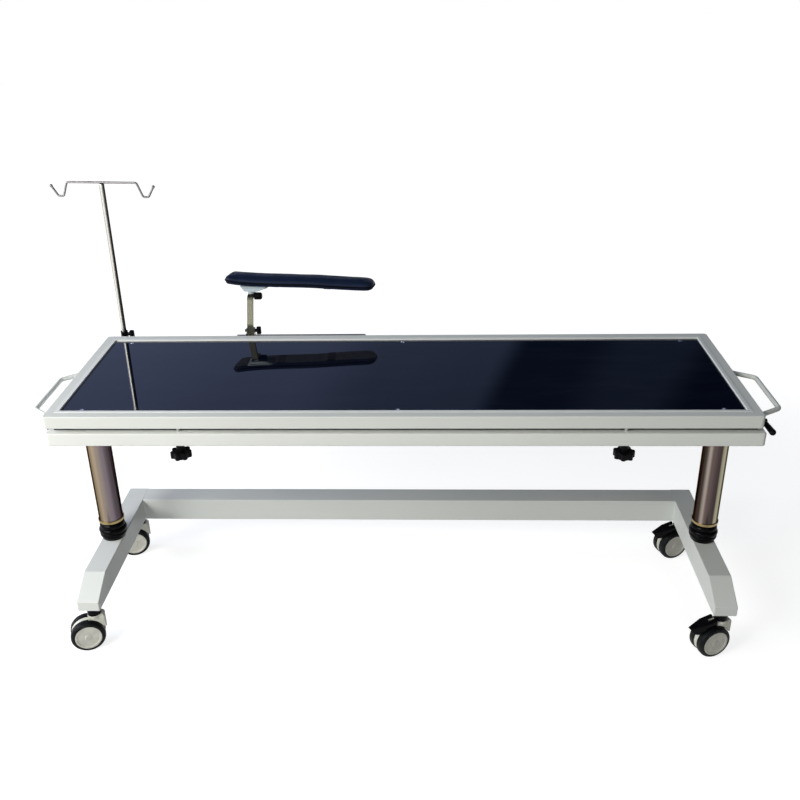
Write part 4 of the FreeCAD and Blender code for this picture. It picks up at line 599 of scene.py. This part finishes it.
def pad_covers():
    """Upper and lower cover as one closed mesh, with the seam's vertices in order."""
    build = bmesh.new()
    seam_grid = {}
    for top in (True, False):
        grid = {}
        for column in range(PAD_COLUMNS + 1):
            closed = column in (0, PAD_COLUMNS)
            for row in range(PAD_ROWS + 1):
                spot = (column, 0) if closed else (column, row)
                if spot not in grid:
                    edge = closed or row in (0, PAD_ROWS)
                    if edge and not top:
                        grid[spot] = seam_grid[spot]
                    else:
                        grid[spot] = build.verts.new(pad_point(*spot, top))
                grid[(column, row)] = grid[spot]
        seam_grid = seam_grid or grid
        for column in range(PAD_COLUMNS):
            for row in range(PAD_ROWS):
                ring = [grid[(column, row)], grid[(column + 1, row)],
                        grid[(column + 1, row + 1)], grid[(column, row + 1)]]
                corners = list(dict.fromkeys(ring if top else ring[::-1]))
                build.faces.new(corners)
    loop = [seam_grid[(column, 0)] for column in range(PAD_COLUMNS + 1)]
    loop += [seam_grid[(column, PAD_ROWS)] for column in range(PAD_COLUMNS - 1, 0, -1)]
    build.verts.index_update()
    seam = [vertex.index for vertex in loop]
    mesh = bpy.data.meshes.new("arm_cushion")
    build.to_mesh(mesh)
    build.free()
    return mesh, seam


def swell(cushion, seam):
    """Blows the covers up between their seam with a short cloth run, and keeps the result.

    The run's small wrinkles are evened out between neighbours, and no point moves
    farther than PAD_SWELL.
    """
    start = [vertex.co.copy() for vertex in cushion.data.vertices]
    held = cushion.vertex_groups.new(name="seam")
    held.add(seam, 1.0, "REPLACE")
    cloth = cushion.modifiers.new("cloth", "CLOTH")
    cloth.settings.quality = 6
    cloth.settings.mass = 0.3
    cloth.settings.tension_stiffness = 14
    cloth.settings.compression_stiffness = 10
    cloth.settings.bending_stiffness = 0.6
    cloth.settings.shrink_min = -0.012
    cloth.settings.use_pressure = True
    cloth.settings.uniform_pressure_force = 3.2
    cloth.settings.vertex_group_mass = held.name
    cloth.settings.effector_weights.gravity = 0
    cloth.point_cache.frame_start = 1
    cloth.point_cache.frame_end = CLOTH_STEPS
    for step in range(1, CLOTH_STEPS + 1):
        scene.frame_set(step)
    shaped = cushion.evaluated_get(bpy.context.evaluated_depsgraph_get())
    places = [vertex.co.copy() for vertex in shaped.data.vertices]
    scene.frame_set(1)
    cushion.modifiers.remove(cloth)
    cushion.vertex_groups.remove(held)
    moves = [after - before for before, after in zip(start, places)]
    near = [[] for vertex in start]
    for edge in cushion.data.edges:
        first, second = edge.vertices
        near[first].append(second)
        near[second].append(first)
    still = set(seam)
    for pass_number in range(PAD_EASE):
        eased = []
        for index, move in enumerate(moves):
            if index not in still:
                around = sum((moves[other] for other in near[index]), Vector()) / len(near[index])
                move = (move + around) / 2
            eased.append(move)
        moves = eased
    for vertex, before, move in zip(cushion.data.vertices, start, moves):
        if move.length > PAD_SWELL:
            move = move.normalized() * PAD_SWELL
        vertex.co = before + move


def settle(mesh, turn):
    """Rests the underside flat, adds the lift and wave, and puts the pad in place."""
    floor = -PAD_THICK / 2
    for vertex in mesh.vertices:
        if vertex.co.z < floor:
            vertex.co.z = floor
        vertex.co.z += pad_line(vertex.co.x)
    mesh.transform(turn)


def piping(name, points, turn):
    """A thin round cord sewn along the seam."""
    build = bmesh.new()
    rings = []
    count = len(points)
    for index, point in enumerate(points):
        ahead = (points[(index + 1) % count] - points[index - 1]).normalized()
        side = ahead.cross(Vector((0, 0, 1))).normalized()
        up = side.cross(ahead)
        ring = []
        for corner in range(PIPING_SIDES):
            angle = 2 * math.pi * corner / PIPING_SIDES
            reach = side * math.cos(angle) + up * math.sin(angle)
            ring.append(build.verts.new(point + reach * PIPING_RADIUS))
        rings.append(ring)
    for first, second in zip(rings, rings[1:] + rings[:1]):
        for corner in range(PIPING_SIDES):
            after = (corner + 1) % PIPING_SIDES
            build.faces.new([first[corner], second[corner], second[after], first[after]])
    bmesh.ops.recalc_face_normals(build, faces=build.faces)
    mesh = bpy.data.meshes.new(name)
    build.to_mesh(mesh)
    build.free()
    mesh.transform(turn)
    mesh.shade_smooth()
    cord = bpy.data.objects.new(name, mesh)
    scene.collection.objects.link(cord)
    return cord


def make_cushion(bank):
    """The upholstered pad: crowned covers sewn along a piped seam, where the arm_pad node is."""
    low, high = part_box("arm_pad")
    middle = (Vector(low) + Vector(high)) / 2
    turn = Matrix.Translation(middle) @ Matrix.Rotation(PAD_TILT, 4, "Y")
    mesh, seam = pad_covers()
    cushion = bpy.data.objects.new("arm_cushion", mesh)
    scene.collection.objects.link(cushion)
    swell(cushion, seam)
    points = [mesh.vertices[index].co.copy() for index in seam]
    for point in points:
        point.z += pad_line(point.x)
    settle(mesh, turn)
    mesh.materials.append(bank["vinyl"])
    mesh.shade_smooth()
    finer = cushion.modifiers.new("finer", "SUBSURF")
    finer.levels = 1
    finer.render_levels = 1
    cord = piping("arm_cushion_piping", points, turn)
    cord.data.materials.append(bank["piping"])
    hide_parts("arm_pad")
    for piece in (cushion, cord):
        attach(piece, "arm_rest")


# ---------------------------------------------------------------- column bellows

BELLOWS_SIDES = 72
BELLOWS_RIDGES = ((0.0374, 0.0426), (0.0408, 0.0442), (0.0380, 0.0396))
BELLOWS_NECK = 0.0320
BELLOWS_BORE = 0.0284
BELLOWS_CUFF = 0.005
BELLOWS_BEVEL = 0.0006
RIDGE_STEPS = 14
RIDGE_POWER = 0.7


def bellows_profile(height):
    """Radius and height of the sleeve from its foot to its neck, then down the bore."""
    foot = BELLOWS_RIDGES[0][0]
    rows = [(BELLOWS_BORE, 0.0), (foot - BELLOWS_BEVEL, 0.0), (foot, BELLOWS_BEVEL)]
    pitch = (height - 2 * BELLOWS_CUFF) / len(BELLOWS_RIDGES)
    roots = [root for root, crest in BELLOWS_RIDGES] + [BELLOWS_NECK]
    for number, (root, crest) in enumerate(BELLOWS_RIDGES):
        for step in range(RIDGE_STEPS + 1):
            part = step / RIDGE_STEPS
            base = root + (roots[number + 1] - root) * part
            bulge = math.sin(math.pi * part) ** RIDGE_POWER
            top = crest - (root + roots[number + 1]) / 2
            rows.append((base + top * bulge, BELLOWS_CUFF + (number + part) * pitch))
    rows += [(BELLOWS_NECK, height - BELLOWS_BEVEL), (BELLOWS_NECK - BELLOWS_BEVEL, height)]
    return rows + [(BELLOWS_BORE, height)]


def make_bellows(side, rubber):
    """A ribbed sleeve between the leg and the column's bush."""
    low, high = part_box("bellows_" + side)
    centre = Vector(((low[0] + high[0]) / 2, (low[1] + high[1]) / 2, low[2]))
    rows = bellows_profile(high[2] - low[2])
    build = bmesh.new()
    rings = []
    for radius, rise in rows:
        ring = []
        for corner in range(BELLOWS_SIDES):
            angle = 2 * math.pi * corner / BELLOWS_SIDES
            reach = Vector((math.cos(angle) * radius, math.sin(angle) * radius, rise))
            ring.append(build.verts.new(centre + reach))
        rings.append(ring)
    for first, second in zip(rings, rings[1:] + rings[:1]):
        for corner in range(BELLOWS_SIDES):
            after = (corner + 1) % BELLOWS_SIDES
            build.faces.new([first[corner], first[after], second[after], second[corner]])
    mesh = bpy.data.meshes.new("sleeve_" + side)
    build.to_mesh(mesh)
    build.free()
    mesh.materials.append(rubber)
    mesh.shade_smooth()
    sleeve = bpy.data.objects.new("sleeve_" + side, mesh)
    scene.collection.objects.link(sleeve)
    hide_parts("bellows_" + side)
    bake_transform(sleeve)


# ---------------------------------------------------------------- studio

def seen_ray(tree):
    """1 for camera, glossy and transmission rays."""
    path = tree.nodes.new("ShaderNodeLightPath")
    total = tree.nodes.new("ShaderNodeMath")
    total.operation = "ADD"
    tree.links.new(path.outputs["Is Camera Ray"], total.inputs[0])
    tree.links.new(path.outputs["Is Glossy Ray"], total.inputs[1])
    both = tree.nodes.new("ShaderNodeMath")
    both.operation = "ADD"
    both.use_clamp = True
    tree.links.new(total.outputs[0], both.inputs[0])
    tree.links.new(path.outputs["Is Transmission Ray"], both.inputs[1])
    return both.outputs[0]


FLOOR_HALF = 14
FLOOR_ALBEDO = 0.45
FLOOR_GLOW = 0.82
FLOOR_FAR_GLOW = 1.0
FLOOR_NEAR = 1.3
FLOOR_FAR = 3.2


def make_floor():
    """Pale floor that takes the table's shadow and turns plain white farther out."""
    mesh = bpy.data.meshes.new("studio_floor")
    build = bmesh.new()
    bmesh.ops.create_grid(build, x_segments=1, y_segments=1, size=FLOOR_HALF)
    build.to_mesh(mesh)
    build.free()
    floor = bpy.data.objects.new("studio_floor", mesh)
    scene.collection.objects.link(floor)
    material = bpy.data.materials.new("studio_floor")
    material.use_nodes = True
    tree = material.node_tree
    surface = tree.nodes["Principled BSDF"]
    surface.inputs["Base Color"].default_value = (*[FLOOR_ALBEDO] * 3, 1)
    surface.inputs["Roughness"].default_value = 0.9
    surface.inputs["Specular IOR Level"].default_value = 0.1
    surface.inputs["Emission Color"].default_value = (1, 1, 1, 1)
    coords = tree.nodes.new("ShaderNodeTexCoord")
    reach = tree.nodes.new("ShaderNodeVectorMath")
    reach.operation = "LENGTH"
    tree.links.new(coords.outputs["Object"], reach.inputs[0])
    ring = tree.nodes.new("ShaderNodeMapRange")
    ring.interpolation_type = "SMOOTHSTEP"
    ring.inputs["From Min"].default_value = FLOOR_NEAR
    ring.inputs["From Max"].default_value = FLOOR_FAR
    ring.inputs["To Min"].default_value = FLOOR_GLOW
    ring.inputs["To Max"].default_value = FLOOR_FAR_GLOW
    tree.links.new(reach.outputs["Value"], ring.inputs["Value"])
    glow = tree.nodes.new("ShaderNodeMath")
    glow.operation = "MULTIPLY"
    tree.links.new(ring.outputs["Result"], glow.inputs[0])
    tree.links.new(seen_ray(tree), glow.inputs[1])
    tree.links.new(glow.outputs[0], surface.inputs["Emission Strength"])
    mesh.materials.append(material)


WALL_TOP = 0.05
CEILING_START = 0.26
CEILING_LEAN = 0.55
CEILING_LEFT = -0.40
CEILING_RIGHT = 0.80
CEILING_TONES = (
    (-0.15, (0.27, 0.33, 0.56)),
    (0.08, (0.20, 0.25, 0.43)),
    (0.18, (0.12, 0.155, 0.27)),
    (0.285, (0.10, 0.135, 0.235)),
    (0.315, (0.012, 0.02, 0.045)),
    (0.37, (0.012, 0.02, 0.045)),
    (0.42, (0.035, 0.05, 0.095)),
    (0.46, (0.035, 0.05, 0.095)),
    (0.50, (0.006, 0.010, 0.022)),
)
FILL = 0.02
FILL_COLOUR = (0.93, 0.96, 1.0, 1)


def make_world():
    world = bpy.data.worlds.new("studio")
    scene.world = world
    world.use_nodes = True
    tree = world.node_tree
    tree.nodes.clear()
    out = tree.nodes.new("ShaderNodeOutputWorld")
    # plain fill for the object
    fill = tree.nodes.new("ShaderNodeBackground")
    fill.inputs["Color"].default_value = FILL_COLOUR
    fill.inputs["Strength"].default_value = FILL
    # what glossy and transmission rays see: white walls, and a ceiling that dims to the right
    coords = tree.nodes.new("ShaderNodeTexCoord")
    split = tree.nodes.new("ShaderNodeSeparateXYZ")
    tree.links.new(coords.outputs["Generated"], split.inputs["Vector"])
    rise = tree.nodes.new("ShaderNodeMapRange")
    rise.interpolation_type = "SMOOTHSTEP"
    rise.inputs["From Min"].default_value = WALL_TOP
    rise.inputs["From Max"].default_value = CEILING_START
    tree.links.new(split.outputs["Z"], rise.inputs["Value"])
    lean = tree.nodes.new("ShaderNodeMath")
    lean.operation = "MULTIPLY_ADD"
    lean.inputs[1].default_value = CEILING_LEAN
    tree.links.new(split.outputs["Z"], lean.inputs[0])
    tree.links.new(split.outputs["X"], lean.inputs[2])
    across = tree.nodes.new("ShaderNodeMapRange")
    across.inputs["From Min"].default_value = CEILING_LEFT
    across.inputs["From Max"].default_value = CEILING_RIGHT
    tree.links.new(lean.outputs[0], across.inputs["Value"])
    ceiling = tree.nodes.new("ShaderNodeValToRGB")
    fill_ramp(ceiling.color_ramp, [
        ((place - CEILING_LEFT) / (CEILING_RIGHT - CEILING_LEFT), colour)
        for place, colour in CEILING_TONES])
    tree.links.new(across.outputs["Result"], ceiling.inputs["Fac"])
    walls = tree.nodes.new("ShaderNodeMix")
    walls.data_type = "RGBA"
    walls.inputs["A"].default_value = (1, 1, 1, 1)
    tree.links.new(ceiling.outputs["Color"], walls.inputs["B"])
    tree.links.new(rise.outputs["Result"], walls.inputs["Factor"])
    path = tree.nodes.new("ShaderNodeLightPath")
    show = tree.nodes.new("ShaderNodeMix")
    show.data_type = "RGBA"
    show.inputs["B"].default_value = (1, 1, 1, 1)
    tree.links.new(walls.outputs["Result"], show.inputs["A"])
    tree.links.new(path.outputs["Is Camera Ray"], show.inputs["Factor"])
    seen = tree.nodes.new("ShaderNodeBackground")
    tree.links.new(show.outputs["Result"], seen.inputs["Color"])
    both = tree.nodes.new("ShaderNodeMixShader")
    tree.links.new(seen_ray(tree), both.inputs["Fac"])
    tree.links.new(fill.outputs[0], both.inputs[1])
    tree.links.new(seen.outputs[0], both.inputs[2])
    tree.links.new(both.outputs[0], out.inputs["Surface"])


def area_light(name, place, target, size, power, colour):
    data = bpy.data.lights.new(name, "AREA")
    data.shape = "RECTANGLE"
    data.size = size[0]
    data.size_y = size[1]
    data.energy = power
    data.color = colour
    lamp = bpy.data.objects.new(name, data)
    lamp.location = place
    lamp.rotation_euler = (Vector(target) - Vector(place)).to_track_quat("-Z", "Y").to_euler()
    scene.collection.objects.link(lamp)


# name, place, target, size, watts, colour
LAMPS = (
    ("left", (-3.2, -1.8, 2.0), (-0.2, 0, 0.6), (1.6, 1.6), 66, (1.0, 0.96, 0.93)),
    ("front_left", (-2.4, -2.9, 2.6), (-0.2, 0, 0.6), (1.2, 1.2), 90, (0.98, 1.0, 0.95)),
    ("front_right", (1.7, -3.2, 2.2), (0.2, 0, 0.6), (1.2, 1.2), 8, (0.98, 1.0, 0.94)),
    ("low_front", (0.2, -3.3, 0.6), (0.1, 0, 0.5), (1.0, 0.6), 9, (0.98, 1.0, 0.95)),
    ("top_front", (-0.9, -0.45, 3.0), (-0.5, 0, 0.6), (0.4, 0.4), 3, (1.0, 1.0, 0.95)),
    ("top_right", (1.0, 0.6, 3.2), (0.6, 0, 0.6), (1.6, 1.6), 9, (0.70, 0.80, 1.0)),
    ("far_left", (-3.4, 0.2, 1.6), (-0.6, 0.1, 0.3), (1.2, 1.2), 40, (0.68, 0.76, 1.0)),
)


def make_lights():
    for name, spot, target, extent, power, colour in LAMPS:
        area_light(name, spot, target, extent, power, colour)


def studio():
    scene.view_settings.view_transform = "Standard"
    make_world()
    make_floor()
    make_lights()


# ---------------------------------------------------------------- the whole

make_camera()
materials = make_materials()
paint_nodes(materials)
make_cushion(materials)
for side in ("left", "right"):
    make_bellows(side, materials["rubber"])
studio()

bpy.context.view_layer.update()
